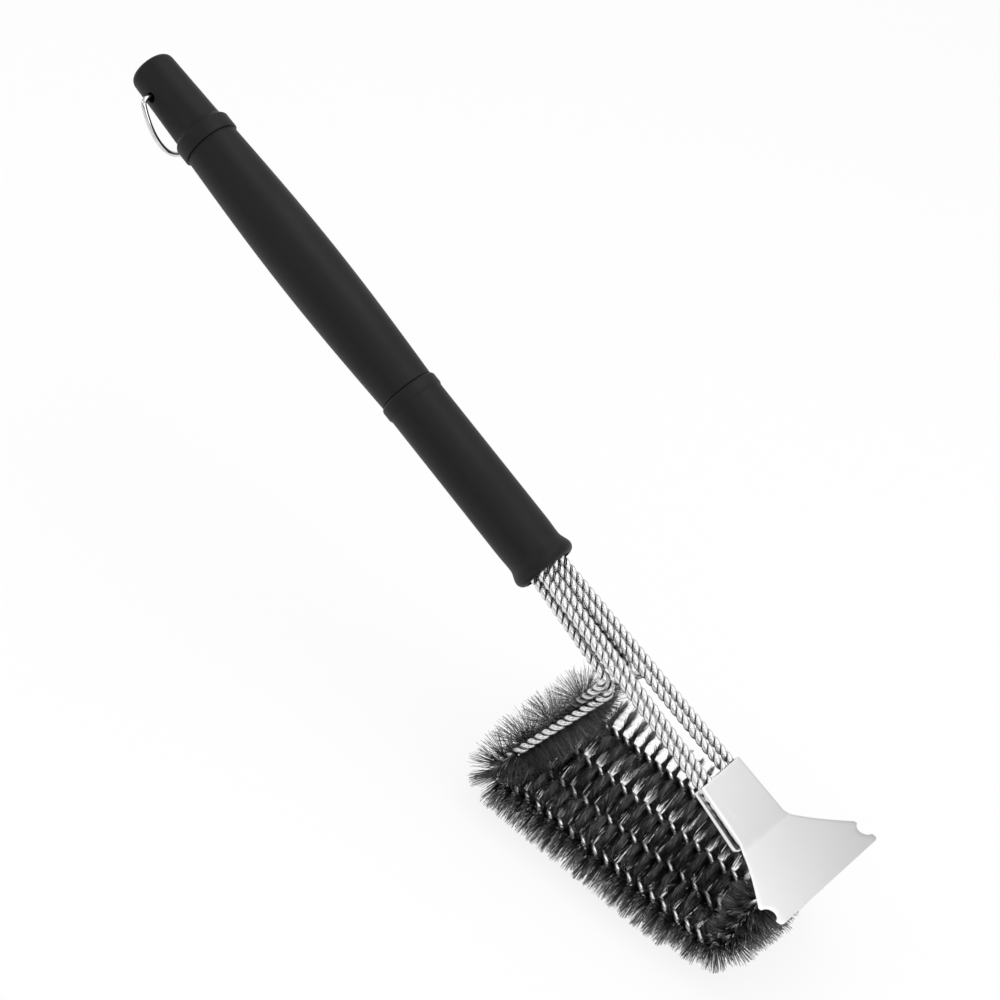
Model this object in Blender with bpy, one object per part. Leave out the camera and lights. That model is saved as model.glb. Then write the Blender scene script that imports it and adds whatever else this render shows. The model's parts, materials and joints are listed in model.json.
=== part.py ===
"""Grill cleaning brush: a turned plastic handle, four looped twisted-wire bristle rows and a sheet scraper.

The brush stands on its bristles. +X points to the scraper, +Z is up and the middle plane is Y = 0.
The handle line is tilted: it comes down towards the scraper and meets the rows at ROW_ANGLE.
"""
import math

import bmesh
import bpy
from mathutils import Matrix, Vector

MM = 0.001
FIT_GAP = 0.3 * MM
WELD = 0.01 * MM
SMOOTH_ANGLE = math.radians(35.0)
BRISTLE_SMOOTH_ANGLE = math.radians(20.0)

# Handle, turned about its own line. Lengths run along the line, back from the front lip.
TURNED_SIDES = 32
SLEEVE_LENGTH = 94.0 * MM
SLEEVE_DIAMETER = 26.5 * MM
SLEEVE_COLLAR_DIAMETER = 27.6 * MM
SLEEVE_COLLAR_LENGTH = 6.0 * MM
LIP_DIAMETER = 28.0 * MM
LIP_LENGTH = 6.0 * MM
LIP_ROUNDING = 2.0 * MM
GRIP_LENGTH = 137.0 * MM
GRIP_BACK_DIAMETER = 25.2 * MM
GRIP_FRONT_DIAMETER = 25.6 * MM
GRIP_SWELL = 3.8 * MM
GRIP_WALL = 2.2 * MM
GRIP_STATIONS = 12
SLEEVE_WALL = 1.8 * MM
SPIGOT_LENGTH = 12.0 * MM
SPIGOT_WALL = 2.0 * MM
CAP_LENGTH = 50.0 * MM
CAP_BACK_DIAMETER = 20.4 * MM
CAP_FRONT_DIAMETER = 22.9 * MM
CAP_ROUNDING = 4.5 * MM
CAP_END_WALL = 6.0 * MM
CAP_COLLAR_DIAMETER = 27.3 * MM
CAP_COLLAR_LENGTH = 10.5 * MM
COLLAR_ROUNDING = 1.8 * MM
ROUNDING_STEPS = 5

# Hang ring: a D of round wire through a cross hole in the end cap.
RING_WIRE = 2.0 * MM
RING_HALF_WIDTH = 14.2 * MM
RING_REACH = 30.5 * MM
RING_FULLNESS = 2.3
RING_CORNER = 3.0 * MM
RING_LEAN = math.radians(40.0)
RING_HOLE_DIAMETER = 3.4 * MM
RING_HOLE_FROM_END = 15.0 * MM
RING_BOW_STEPS = 28
RING_CORNER_STEPS = 4

# Wire: each stem is a twisted pair, so its outer diameter is two strands.
STRAND_DIAMETER = 1.9 * MM
STEM_RADIUS = STRAND_DIAMETER
UPPER_LAYER = 1.2 * MM
LOWER_LAYER = -3.6 * MM
STEM_EXIT_RUN = 2.0 * MM
ANCHOR_LENGTH = 30.0 * MM
ANCHOR_STEP = 1.0 * MM
ANCHOR_HOLE_SIDES = 16

# Head. The rows lie along X, ROW_ANGLE from the handle line.
ROW_ANGLE = math.radians(21.0)
ROW_DEPTH = 78.6 * MM
ROW_BACK = 52.2 * MM
LEG_STATION = 55.2 * MM
NOSE_STATION = 160.0 * MM
NOSE_FORWARD = 127.0 * MM
LEG_BEND = 5.0 * MM
NOSE_BEND = 14.0 * MM
BEND_STEPS = 5
BEND_LEAD = 3.8 * MM
BENT_STEP = 6.0 * MM

# Bristles: a right-hand spiral round each row, and outward fans on the legs and noses. Neighbouring rows
# are shifted by different shares of a station, so that their bristles pass each other.
BRISTLE_RADIUS = 15.0 * MM
NOSE_BRISTLE_RADIUS = 12.0 * MM
TRIM_DEPTH = 0.5 * MM
BRISTLE_ROOT = 1.65 * MM
BRISTLE_TIP = 1.4 * MM
CORE_SIDES = 6
ROW_STATIONS = 27
ROW_SHIFTS = (0.75, 0.25)
BEND_SHIFT = 0.5
LEG_SPLAY = math.radians(35.0)
NOSE_SPLAY = math.radians(30.0)
LEG_BARE = 0.2
NOSE_BARE = 0.3

# Sideways places of the four loops: inner and outer distance from the middle plane.
EXIT_INNER, EXIT_OUTER = 2.6 * MM, 7.6 * MM
LEG_INNER, LEG_OUTER = 4.2 * MM, 11.0 * MM
CLAMP_INNER, CLAMP_OUTER = 5.6 * MM, 11.6 * MM
ROW_INNER, ROW_OUTER = 9.6 * MM, 28.7 * MM

# Scraper: one sheet, folded round the upper stems on the +Y side and open on the -Y side.
SHEET = 1.0 * MM
CLAMP_STATION = 113.2 * MM
CLAMP_LENGTH = 31.5 * MM
CLAMP_OPEN_SIDE_SHORT = 0.7 * MM
BLADE_ANGLE = math.radians(23.0)
BLADE_LENGTH = 32.5 * MM
BLADE_HALF_WIDTH = 35.3 * MM
SHOULDER_FROM_EDGE = 11.5 * MM
FLARE_POWER = 1.4
NOTCH_RADIUS = 3.6 * MM
NOTCH_FROM_EDGE = 6.5 * MM
NOTCH_SETOUT = 0.4 * MM
BLADE_TIP_ROUNDING = 1.5 * MM
FLARE_STEPS = 7
NOTCH_STEPS = 6

BLACK_PLASTIC = ("black_plastic", (0.030, 0.030, 0.031, 1.0), 0.48, 0.0)
BRIGHT_WIRE = ("bright_wire", (0.72, 0.72, 0.73, 1.0), 0.25, 1.0)
RING_STEEL = ("ring_steel", (0.78, 0.78, 0.79, 1.0), 0.15, 1.0)
SHEET_STEEL = ("sheet_steel", (0.70, 0.70, 0.71, 1.0), 0.35, 1.0)
BRISTLE_STEEL = ("bristle_steel", (0.10, 0.10, 0.105, 1.0), 0.40, 1.0)


def clear_scene():
    """Remove every object that the file starts with."""
    for leftover in list(bpy.data.objects):
        bpy.data.objects.remove(leftover, do_unlink=True)


def finish_of(piece, spec, name):
    """Give a piece its own material."""
    label, colour, roughness, metallic = spec
    material = bpy.data.materials.new(f"{name}_{label}")
    material.use_nodes = True
    shader = material.node_tree.nodes["Principled BSDF"]
    shader.inputs["Base Color"].default_value = colour
    shader.inputs["Roughness"].default_value = roughness
    shader.inputs["Metallic"].default_value = metallic
    piece.data.materials.append(material)


def empty(name, location, turn, parent=None):
    """Add an empty that carries pieces, turned about Y."""
    holder = bpy.data.objects.new(name, None)
    bpy.context.scene.collection.objects.link(holder)
    holder.location = location
    holder.rotation_euler = (0.0, turn, 0.0)
    holder.parent = parent
    return holder


def piece_from(bm, name, spec, parent, smooth_angle=SMOOTH_ANGLE):
    """Turn a finished bmesh into a named, smooth-shaded piece."""
    bmesh.ops.recalc_face_normals(bm, faces=bm.faces)
    mesh = bpy.data.meshes.new(name)
    bm.to_mesh(mesh)
    bm.free()
    mesh.shade_smooth()
    mesh.set_sharp_from_angle(angle=smooth_angle)
    piece = bpy.data.objects.new(name, mesh)
    bpy.context.scene.collection.objects.link(piece)
    piece.parent = parent
    if spec is not None:
        finish_of(piece, spec, name)
    return piece


def cut_with(piece, cutter):
    """Take the cutter's shape out of a piece, and keep the cutter as a wire guide."""
    cutter.hide_render = True
    cutter.display_type = "WIRE"
    hole = piece.modifiers.new(cutter.name, "BOOLEAN")
    hole.operation = "DIFFERENCE"
    hole.solver = "EXACT"
    hole.object = cutter


def quarter(centre_x, centre_r, radius, start, stop):
    """Points of an arc in the turning plane, from start to stop degrees."""
    points = []
    for step in range(ROUNDING_STEPS + 1):
        angle = math.radians(start + (stop - start) * step / ROUNDING_STEPS)
        points.append((centre_x + radius * math.cos(angle), centre_r + radius * math.sin(angle)))
    return points


def turned(name, profile, spec, parent, ring=False):
    """Spin a profile of (along, radius) points about the handle line. A ring profile closes on itself."""
    bm = bmesh.new()
    verts = [bm.verts.new((along, 0.0, radius)) for along, radius in profile]
    edges = [bm.edges.new(pair) for pair in zip(verts, verts[1:])]
    if ring:
        edges.append(bm.edges.new((verts[-1], verts[0])))
    bmesh.ops.spin(bm, geom=verts + edges, cent=(0, 0, 0), axis=(1, 0, 0), angle=math.tau,
                   steps=TURNED_SIDES, use_merge=True)
    bmesh.ops.remove_doubles(bm, verts=bm.verts, dist=WELD)
    return piece_from(bm, name, spec, parent)


def rods(name, centres, radius, sides, axis, start, stop, parent):
    """Closed round rods along X or Y in one mesh, used as a drill."""
    bm = bmesh.new()
    turn = Matrix.Rotation(math.radians(90.0), 4, "Y" if axis == "X" else "X")
    for centre in centres:
        middle = Vector(centre)
        middle["XY".index(axis)] += (start + stop) / 2
        bmesh.ops.create_cone(bm, cap_ends=True, segments=sides, radius1=radius, radius2=radius,
                              depth=stop - start, matrix=Matrix.Translation(middle) @ turn)
    return piece_from(bm, name, None, parent)


def four(inner, outer):
    """Sideways places of loops 1 to 4, from the -Y side to the +Y side."""
    return (-outer, -inner, inner, outer)


def handle_stations():
    """Where the handle's joints lie along its line, all behind the lip at 0."""
    sleeve_back = -SLEEVE_LENGTH
    grip_front = sleeve_back - FIT_GAP
    grip_back = grip_front - GRIP_LENGTH
    cap_front = grip_back - FIT_GAP
    return sleeve_back, grip_front, grip_back, cap_front, cap_front - CAP_LENGTH


def spigot_radius(mouth_diameter):
    """Outer radius of the spigot that goes into one end of the grip."""
    return mouth_diameter / 2 - GRIP_WALL - FIT_GAP


def anchor_radius():
    """Outer radius of the stem anchor, which fills the sleeve's bore."""
    return SLEEVE_DIAMETER / 2 - SLEEVE_WALL - FIT_GAP


def front_sleeve(line):
    """Sleeve with a spigot into the grip, a collar, a lip and a stepped bore for the stem anchor."""
    back = handle_stations()[0]
    spigot = spigot_radius(GRIP_FRONT_DIAMETER)
    bore = anchor_radius() + FIT_GAP
    collar = SLEEVE_COLLAR_DIAMETER / 2
    barrel = SLEEVE_DIAMETER / 2
    lip = LIP_DIAMETER / 2
    seat = -ANCHOR_LENGTH - FIT_GAP
    neck = back + SLEEVE_COLLAR_LENGTH
    profile = [(back - SPIGOT_LENGTH, spigot - SPIGOT_WALL), (back - SPIGOT_LENGTH, spigot), (back, spigot)]
    profile += quarter(back + COLLAR_ROUNDING, collar - COLLAR_ROUNDING, COLLAR_ROUNDING, 180, 90)
    profile += [(neck - COLLAR_ROUNDING, collar), (neck, barrel)]
    profile += [(-LIP_LENGTH, barrel), (-LIP_LENGTH / 2, (barrel + lip) / 2)]
    profile += quarter(-LIP_ROUNDING, lip - LIP_ROUNDING, LIP_ROUNDING, 90, 0)
    profile += [(0.0, bore), (seat, bore), (seat, bore - ANCHOR_STEP), (neck, bore - ANCHOR_STEP)]
    profile += [(neck, spigot - SPIGOT_WALL)]
    return turned("front_sleeve", profile, BLACK_PLASTIC, line, ring=True)


def grip(line):
    """Barrel-shaped grip, hollow with an even wall."""
    _, front, back, _, _ = handle_stations()
    outside = []
    for step in range(GRIP_STATIONS + 1):
        share = step / GRIP_STATIONS
        straight = GRIP_BACK_DIAMETER + (GRIP_FRONT_DIAMETER - GRIP_BACK_DIAMETER) * share
        swell = GRIP_SWELL * math.sin(math.pi * share)
        outside.append((back + (front - back) * share, (straight + swell) / 2))
    inside = [(along, radius - GRIP_WALL) for along, radius in reversed(outside)]
    return turned("grip", outside + inside, BLACK_PLASTIC, line, ring=True)


def end_cap(line):
    """Tapered hollow cap with a collar, a spigot into the grip and a cross hole for the ring."""
    _, _, _, front, back = handle_stations()
    collar = CAP_COLLAR_DIAMETER / 2
    collar_back = front - CAP_COLLAR_LENGTH
    spigot = spigot_radius(GRIP_BACK_DIAMETER)
    mouth = front + SPIGOT_LENGTH
    hollow = spigot - SPIGOT_WALL
    profile = [(back, 0.0)]
    profile += quarter(back + CAP_ROUNDING, CAP_BACK_DIAMETER / 2 - CAP_ROUNDING, CAP_ROUNDING, 180, 90)
    profile += [(collar_back, CAP_FRONT_DIAMETER / 2)]
    profile += quarter(collar_back + COLLAR_ROUNDING, collar - COLLAR_ROUNDING, COLLAR_ROUNDING, 180, 90)
    profile += [(front, collar), (front, spigot), (mouth, spigot), (mouth, hollow)]
    profile += [(back + CAP_END_WALL, hollow), (back + CAP_END_WALL, 0.0)]
    cap = turned("end_cap", profile, BLACK_PLASTIC, line)
    drill = rods("ring_hole_drill", [(back + RING_HOLE_FROM_END, 0.0, 0.0)], RING_HOLE_DIAMETER / 2,
                 ANCHOR_HOLE_SIDES, "Y", -collar, collar, line)
    cut_with(cap, drill)
    return cap


def ring_outline():
    """Centre line of the ring: a straight bar in the hole, two rounded corners and a full bow."""
    points = []
    low = RING_CORNER
    for step in range(RING_CORNER_STEPS):
        angle = math.radians(-90.0 + 90.0 * step / RING_CORNER_STEPS)
        points.append((RING_HALF_WIDTH - low + low * math.cos(angle), low + low * math.sin(angle)))
    for step in range(RING_BOW_STEPS + 1):
        angle = math.pi * step / RING_BOW_STEPS
        across = math.copysign(abs(math.cos(angle)) ** (2 / RING_FULLNESS), math.cos(angle))
        along = math.sin(angle) ** (2 / RING_FULLNESS) if 0 < step < RING_BOW_STEPS else 0.0
        points.append((RING_HALF_WIDTH * across, low + (RING_REACH - low) * along))
    points += [(-across, along) for across, along in reversed(points[:RING_CORNER_STEPS])]
    return points


def tube(name, points, radius, spec, parent, closed=False):
    """A round tube along hand-placed points."""
    curve = bpy.data.curves.new(name, "CURVE")
    curve.dimensions = "3D"
    curve.bevel_depth = radius
    curve.bevel_resolution = 2
    curve.use_fill_caps = not closed
    spline = curve.splines.new("POLY")
    spline.points.add(len(points) - 1)
    for knot, place in zip(spline.points, points):
        knot.co = (*place, 1.0)
    spline.use_cyclic_u = closed
    spline.use_smooth = True
    piece = bpy.data.objects.new(name, curve)
    bpy.context.scene.collection.objects.link(piece)
    piece.parent = parent
    finish_of(piece, spec, name)
    return piece


def hang_ring(line):
    """Ring on an empty that sits on the cross hole's axis, leaning towards the grip below the handle."""
    back = handle_stations()[4]
    pivot = empty("ring_pivot", (back + RING_HOLE_FROM_END, 0.0, 0.0), RING_LEAN, line)
    points = [(along, across, 0.0) for across, along in ring_outline()]
    return tube("hang_ring", points, RING_WIRE / 2, RING_STEEL, pivot, closed=True)


def stem_place(loop, station):
    """Sideways place of an upper stem at a station along the handle line."""
    start = four(EXIT_INNER, EXIT_OUTER)[loop]
    end = four(CLAMP_INNER, CLAMP_OUTER)[loop]
    share = max(0.0, station - STEM_EXIT_RUN) / (CLAMP_STATION - STEM_EXIT_RUN)
    return start + (end - start) * share


def handle_origin():
    """Lip centre of the handle line, so that the bristle tips come to Z = 0 and the rows start at X = 0."""
    along, up = ROW_BACK, -ROW_DEPTH
    row_x = along * math.cos(ROW_ANGLE) + up * math.sin(ROW_ANGLE)
    row_z = -along * math.sin(ROW_ANGLE) + up * math.cos(ROW_ANGLE)
    return Vector((-row_x, 0.0, BRISTLE_RADIUS - row_z))


def on_handle(station, across, up):
    """A place measured along the handle line, across it and above it, in the head's own axes."""
    turn = Matrix.Rotation(ROW_ANGLE, 3, "Y")
    return handle_origin() + turn @ Vector((station, across, up))


def bent(corners, radius):
    """A route through corner points, with each inner corner rounded to a radius."""
    route = [corners[0]]
    for before, corner, after in zip(corners, corners[1:], corners[2:]):
        into = (corner - before).normalized()
        out = (after - corner).normalized()
        turn = into.angle(out)
        reach = radius * math.tan(turn / 2)
        inward = (out - into).normalized()
        centre = corner + inward * radius / math.cos(turn / 2)
        normal = into.cross(out).normalized()
        first = corner - into * reach - centre
        for step in range(BEND_STEPS + 1):
            route.append(centre + Matrix.Rotation(turn * step / BEND_STEPS, 3, normal) @ first)
    route.append(corners[-1])
    return [route[0]] + [here for before, here in zip(route, route[1:]) if (here - before).length > WELD]


def stepped(route, step):
    """The same route with its long runs split into equal steps."""
    places = [route[0]]
    for start, end in zip(route, route[1:]):
        count = max(1, round((end - start).length / step))
        places += [start.lerp(end, index / count) for index in range(1, count + 1)]
    return places


def loop_corners(loop):
    """Corner points of one wire loop from the lower stem round to the upper stem."""
    leg_y = four(LEG_INNER, LEG_OUTER)[loop]
    row_y = four(ROW_INNER, ROW_OUTER)[loop]
    exit_y = four(EXIT_INNER, EXIT_OUTER)[loop]
    return {
        "lower_exit": on_handle(STEM_EXIT_RUN, exit_y, LOWER_LAYER),
        "leg_top": on_handle(LEG_STATION, leg_y, LOWER_LAYER),
        "row_back": Vector((0.0, row_y, BRISTLE_RADIUS)),
        "row_front": Vector((NOSE_FORWARD, row_y, BRISTLE_RADIUS)),
        "nose_top": on_handle(NOSE_STATION, stem_place(loop, NOSE_STATION), UPPER_LAYER),
        "upper_exit": on_handle(STEM_EXIT_RUN, exit_y, UPPER_LAYER),
    }


def bend_reach(before, corner, after, radius):
    """How far a rounded corner and its straight lead eat into the runs that meet there."""
    return radius * math.tan((corner - before).angle(after - corner) / 2) + BEND_LEAD


def toward(start, end, distance):
    """The point a distance along the way from start to end."""
    return start + (end - start).normalized() * distance


def loop_ends(loop):
    """Where the straight runs of a loop end and its two bent runs begin."""
    c = loop_corners(loop)
    leg_top = bend_reach(c["lower_exit"], c["leg_top"], c["row_back"], LEG_BEND)
    leg_foot = bend_reach(c["leg_top"], c["row_back"], c["row_front"], LEG_BEND)
    nose_foot = bend_reach(c["row_back"], c["row_front"], c["nose_top"], NOSE_BEND)
    nose_top = bend_reach(c["row_front"], c["nose_top"], c["upper_exit"], NOSE_BEND)
    return c, {
        "leg_top": toward(c["leg_top"], c["lower_exit"], leg_top),
        "leg_foot": toward(c["row_back"], c["row_front"], leg_foot),
        "nose_foot": toward(c["row_front"], c["row_back"], nose_foot),
        "nose_top": toward(c["nose_top"], c["upper_exit"], nose_top),
    }


def frames(route):
    """Tangent, outer side and +Y-most side at each point of a route. The outer side faces out of the loop."""
    sideways = Vector((0.0, 1.0, 0.0))
    result = []
    for index, place in enumerate(route):
        ahead = route[min(index + 1, len(route) - 1)]
        behind = route[max(index - 1, 0)]
        tangent = (ahead - behind).normalized()
        outer = sideways.cross(tangent).normalized()
        result.append((place, outer, tangent.cross(outer)))
    return result


def add_bristle(bm, face, centre, along, around, outward, length):
    """Replace one face of the core by a bristle that is fused to it."""
    corners = list(face.verts)
    middle = face.calc_center_median()
    bm.faces.remove(face)
    ring_of = []
    for size, lift in ((BRISTLE_ROOT, 0.0), (BRISTLE_TIP, length)):
        ring = []
        for corner in corners:
            offset = corner.co - middle
            step_along = math.copysign(size / 2, offset.dot(along))
            step_around = math.copysign(size / 2, offset.dot(around))
            ring.append(bm.verts.new(centre + along * step_along + around * step_around + outward * lift))
        ring_of.append(ring)
    for inner, outer in ((corners, ring_of[0]), (ring_of[0], ring_of[1])):
        for index in range(len(corners)):
            after = (index + 1) % len(corners)
            bm.faces.new((inner[index], inner[after], outer[after], outer[index]))
    bm.faces.new(ring_of[1])


def bristled(name, route, pick, along_share, parent):
    """A six-sided core along a route, with bristles on the faces that pick() gives for each step.

    pick(step) maps the core side that a bristle stands on to its extra lean about the route and its reach.
    """
    bm = bmesh.new()
    places = frames(route)
    rings = []
    for place, outer, side in places:
        ring = []
        for corner in range(CORE_SIDES):
            angle = math.tau * (corner - 0.5) / CORE_SIDES
            outward = outer * math.cos(angle) + side * math.sin(angle)
            ring.append(bm.verts.new(place + outward * STEM_RADIUS))
        rings.append(ring)
    apothem = STEM_RADIUS * math.cos(math.pi / CORE_SIDES)
    bm.faces.new(reversed(rings[0]))
    bm.faces.new(rings[-1])
    for step in range(len(route) - 1):
        chosen = pick(step)
        tangent = (route[step + 1] - route[step]).normalized()
        base = route[step].lerp(route[step + 1], along_share)
        outer = (places[step][1] + places[step + 1][1]).normalized()
        side = tangent.cross(outer)
        for corner in range(CORE_SIDES):
            after = (corner + 1) % CORE_SIDES
            face = bm.faces.new((rings[step][corner], rings[step][after],
                                 rings[step + 1][after], rings[step + 1][corner]))
            if corner not in chosen:
                continue
            seat = math.tau * corner / CORE_SIDES
            normal = outer * math.cos(seat) + side * math.sin(seat)
            lean, reach = chosen[corner]
            outward = outer * math.cos(seat + lean) + side * math.sin(seat + lean)
            add_bristle(bm, face, base + normal * apothem, tangent, tangent.cross(normal), outward,
                        reach + TRIM_DEPTH - apothem)
    trim_flat(bm)
    return piece_from(bm, name, BRISTLE_STEEL, parent, BRISTLE_SMOOTH_ANGLE)


def trim_flat(bm):
    """Cut the bristles off level with the ground that the brush stands on, and close the cut ends."""
    geometry = list(bm.verts) + list(bm.edges) + list(bm.faces)
    bmesh.ops.bisect_plane(bm, geom=geometry, plane_co=(0, 0, 0), plane_no=(0, 0, -1), clear_outer=True)
    open_edges = [edge for edge in bm.edges if len(edge.link_faces) == 1]
    if open_edges:
        bmesh.ops.holes_fill(bm, edges=open_edges, sides=0)


def spiral_pick(step):
    """Two opposite bristles a step, turning one core side a step: a right-hand two-start spiral."""
    first = step % (CORE_SIDES // 2)
    return {first: (0.0, BRISTLE_RADIUS), first + CORE_SIDES // 2: (0.0, BRISTLE_RADIUS)}


def outer_pick(row_shares, bare, splay, stem_reach):
    """Bristles on the outer side of a bend: one straight out, then two splayed, wider towards the row.

    row_shares gives each step's place on the bend, from 0 at the stem to 1 at the row.
    """
    beside = math.tau / CORE_SIDES

    def pick(step):
        share = (row_shares[step] - bare) / (1.0 - bare)
        reach = stem_reach + (BRISTLE_RADIUS - stem_reach) * share
        if share < 0.0:
            return {}
        if step % 2:
            return {0: (0.0, reach)}
        lean = splay * share - beside
        return {1: (lean, reach), CORE_SIDES - 1: (-lean, reach)}
    return pick


def middle_shares(route):
    """How far along a route the middle of each step lies, from 0 to 1."""
    lengths = [(end - start).length for start, end in zip(route, route[1:])]
    total = sum(lengths)
    return [(sum(lengths[:index]) + length / 2) / total for index, length in enumerate(lengths)]


def gap_ends(route):
    """A route drawn in by half a fit gap at both ends, so that neighbours don't touch."""
    first = toward(route[0], route[1], FIT_GAP / 2)
    last = toward(route[-1], route[-2], FIT_GAP / 2)
    return [first] + route[1:-1] + [last]


def stem_route(loop, layer, end):
    """Knots of a stem in the handle line's own axes, from the back of the anchor to where its bend begins."""
    exit_y = four(EXIT_INNER, EXIT_OUTER)[loop]
    to_line = Matrix.Rotation(-ROW_ANGLE, 3, "Y")
    return [Vector((-ANCHOR_LENGTH, exit_y, layer)), Vector((STEM_EXIT_RUN, exit_y, layer)),
            to_line @ (end - handle_origin())]


def wire_loop(loop, head, line):
    """All the pieces of one loop, numbered from the -Y side."""
    corners, ends = loop_ends(loop)
    number = loop + 1
    upper = stem_route(loop, UPPER_LAYER, ends["nose_top"])
    lower = stem_route(loop, LOWER_LAYER, ends["leg_top"])
    tube(f"upper_stem_{number}", gap_ends(upper), STEM_RADIUS, BRIGHT_WIRE, line)
    tube(f"lower_stem_{number}", gap_ends(lower), STEM_RADIUS, BRIGHT_WIRE, line)
    leg = bent([ends["leg_top"], corners["leg_top"], corners["row_back"], ends["leg_foot"]], LEG_BEND)
    leg = stepped(leg, BENT_STEP)
    leg_pick = outer_pick(middle_shares(leg), LEG_BARE, LEG_SPLAY, BRISTLE_RADIUS)
    bristled(f"bristle_leg_{number}", gap_ends(leg), leg_pick, BEND_SHIFT, head)
    nose = bent([ends["nose_foot"], corners["row_front"], corners["nose_top"], ends["nose_top"]], NOSE_BEND)
    nose = stepped(nose, BENT_STEP)
    nose_shares = [1.0 - share for share in middle_shares(nose)]
    nose_pick = outer_pick(nose_shares, NOSE_BARE, NOSE_SPLAY, NOSE_BRISTLE_RADIUS)
    bristled(f"bristle_nose_{number}", gap_ends(nose), nose_pick, BEND_SHIFT, head)
    row = [ends["leg_foot"], ends["nose_foot"]]
    row = stepped(row, (row[1] - row[0]).length / ROW_STATIONS)
    bristled(f"bristle_row_{number}", gap_ends(row), spiral_pick, ROW_SHIFTS[loop % 2], head)


def stem_anchor(line):
    """Round plug in the sleeve with a hole for each of the eight wire ends."""
    back = -ANCHOR_LENGTH
    radius = anchor_radius()
    outline = [(back, 0.0), (back, radius), (0.0, radius), (0.0, 0.0)]
    plug = turned("stem_anchor", outline, BLACK_PLASTIC, line)
    hole = (STEM_RADIUS + FIT_GAP) / math.cos(math.pi / ANCHOR_HOLE_SIDES)
    places = [(0.0, across, layer) for across in four(EXIT_INNER, EXIT_OUTER)
              for layer in (UPPER_LAYER, LOWER_LAYER)]
    drill = rods("stem_hole_drill", places, hole, ANCHOR_HOLE_SIDES, "X", back - SHEET, SHEET, line)
    cut_with(plug, drill)
    return plug


def blade_side():
    """Right half of the blade's outline from the fold to the tip, as (along, half width) from the fold.

    The side flares to the shoulder, then has a round notch just behind the tip.
    """
    start = fold_half_width()
    shoulder = BLADE_LENGTH - SHOULDER_FROM_EDGE
    points = []
    for step in range(1, FLARE_STEPS + 1):
        share = step / FLARE_STEPS
        points.append((shoulder * share, start + (BLADE_HALF_WIDTH - start) * share ** FLARE_POWER))
    notch_centre = BLADE_HALF_WIDTH + NOTCH_SETOUT
    for step in range(NOTCH_STEPS + 1):
        angle = math.pi * (step + 0.5) / (NOTCH_STEPS + 1)
        along = BLADE_LENGTH - NOTCH_FROM_EDGE - NOTCH_RADIUS * math.cos(angle)
        points.append((along, notch_centre - NOTCH_RADIUS * math.sin(angle)))
    tip = BLADE_TIP_ROUNDING
    points += [(BLADE_LENGTH - tip, BLADE_HALF_WIDTH), (BLADE_LENGTH, BLADE_HALF_WIDTH - tip)]
    return points


def fold_half_width():
    """Half width of the clamp at the fold: the outer stem, its gap and the folded wall."""
    return stem_place(3, CLAMP_STATION + CLAMP_LENGTH) + STEM_RADIUS + FIT_GAP + SHEET


def clamp_section(bm, station):
    """Corners of the folded clamp at a station along the handle line, in order round its outline."""
    under = UPPER_LAYER + STEM_RADIUS + FIT_GAP
    floor = UPPER_LAYER - STEM_RADIUS - FIT_GAP
    inner = stem_place(3, station) + STEM_RADIUS + FIT_GAP
    wide = inner + SHEET
    near = CLAMP_OPEN_SIDE_SHORT - wide
    places = {
        "top_far": (wide, under + SHEET),
        "under_far": (wide, under),
        "low_far": (wide, floor - SHEET),
        "low_near": (near, floor - SHEET),
        "floor_near": (near, floor),
        "floor_in": (inner, floor),
        "under_in": (inner, under),
        "under_near": (near, under),
        "top_near": (near, under + SHEET),
    }
    return {name: bm.verts.new((station, across, up)) for name, (across, up) in places.items()}


def scraper(line):
    """Clamp of U section round the upper stems, with the blade bent up from its top plate."""
    bm = bmesh.new()
    back = clamp_section(bm, CLAMP_STATION)
    fold = clamp_section(bm, CLAMP_STATION + CLAMP_LENGTH)
    order = list(back)
    for name, after in zip(order, order[1:] + order[:1]):
        bm.faces.new((back[name], back[after], fold[after], fold[name]))
    bm.faces.new([back[name] for name in order])
    front_face = ("under_far", "low_far", "low_near", "floor_near", "floor_in", "under_in")
    bm.faces.new([fold[name] for name in front_face])

    rise = Vector((math.cos(BLADE_ANGLE), 0.0, math.sin(BLADE_ANGLE)))
    square = Vector((math.sin(BLADE_ANGLE), 0.0, -math.cos(BLADE_ANGLE))) * SHEET
    far_side = blade_side()
    near_side = []
    for along, wide in reversed(far_side):
        short = CLAMP_OPEN_SIDE_SHORT * (1 - along / BLADE_LENGTH)
        near_side.append((along, short - wide))
    upper, lower = [fold["top_far"]], [fold["under_far"]]
    for along, across in far_side + near_side:
        place = Vector((fold["top_far"].co.x, across, fold["top_far"].co.z)) + rise * along
        upper.append(bm.verts.new(place))
        lower.append(bm.verts.new(place + square))
    upper.append(fold["top_near"])
    lower.append(fold["under_near"])
    for index in range(len(upper) - 1):
        bm.faces.new((upper[index], upper[index + 1], lower[index + 1], lower[index]))
    bm.faces.new(upper)
    bm.faces.new(lower + [fold["under_in"]])
    return piece_from(bm, "scraper", SHEET_STEEL, line)


def outer_box(pieces):
    """Lowest and highest corners of the pieces as they stand."""
    graph = bpy.context.evaluated_depsgraph_get()
    places = []
    for piece in pieces:
        shape = piece.evaluated_get(graph)
        mesh = shape.to_mesh()
        places += [shape.matrix_world @ vertex.co for vertex in mesh.vertices]
        shape.to_mesh_clear()
    low = Vector([min(place[axis] for place in places) for axis in range(3)])
    high = Vector([max(place[axis] for place in places) for axis in range(3)])
    return low, high


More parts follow.
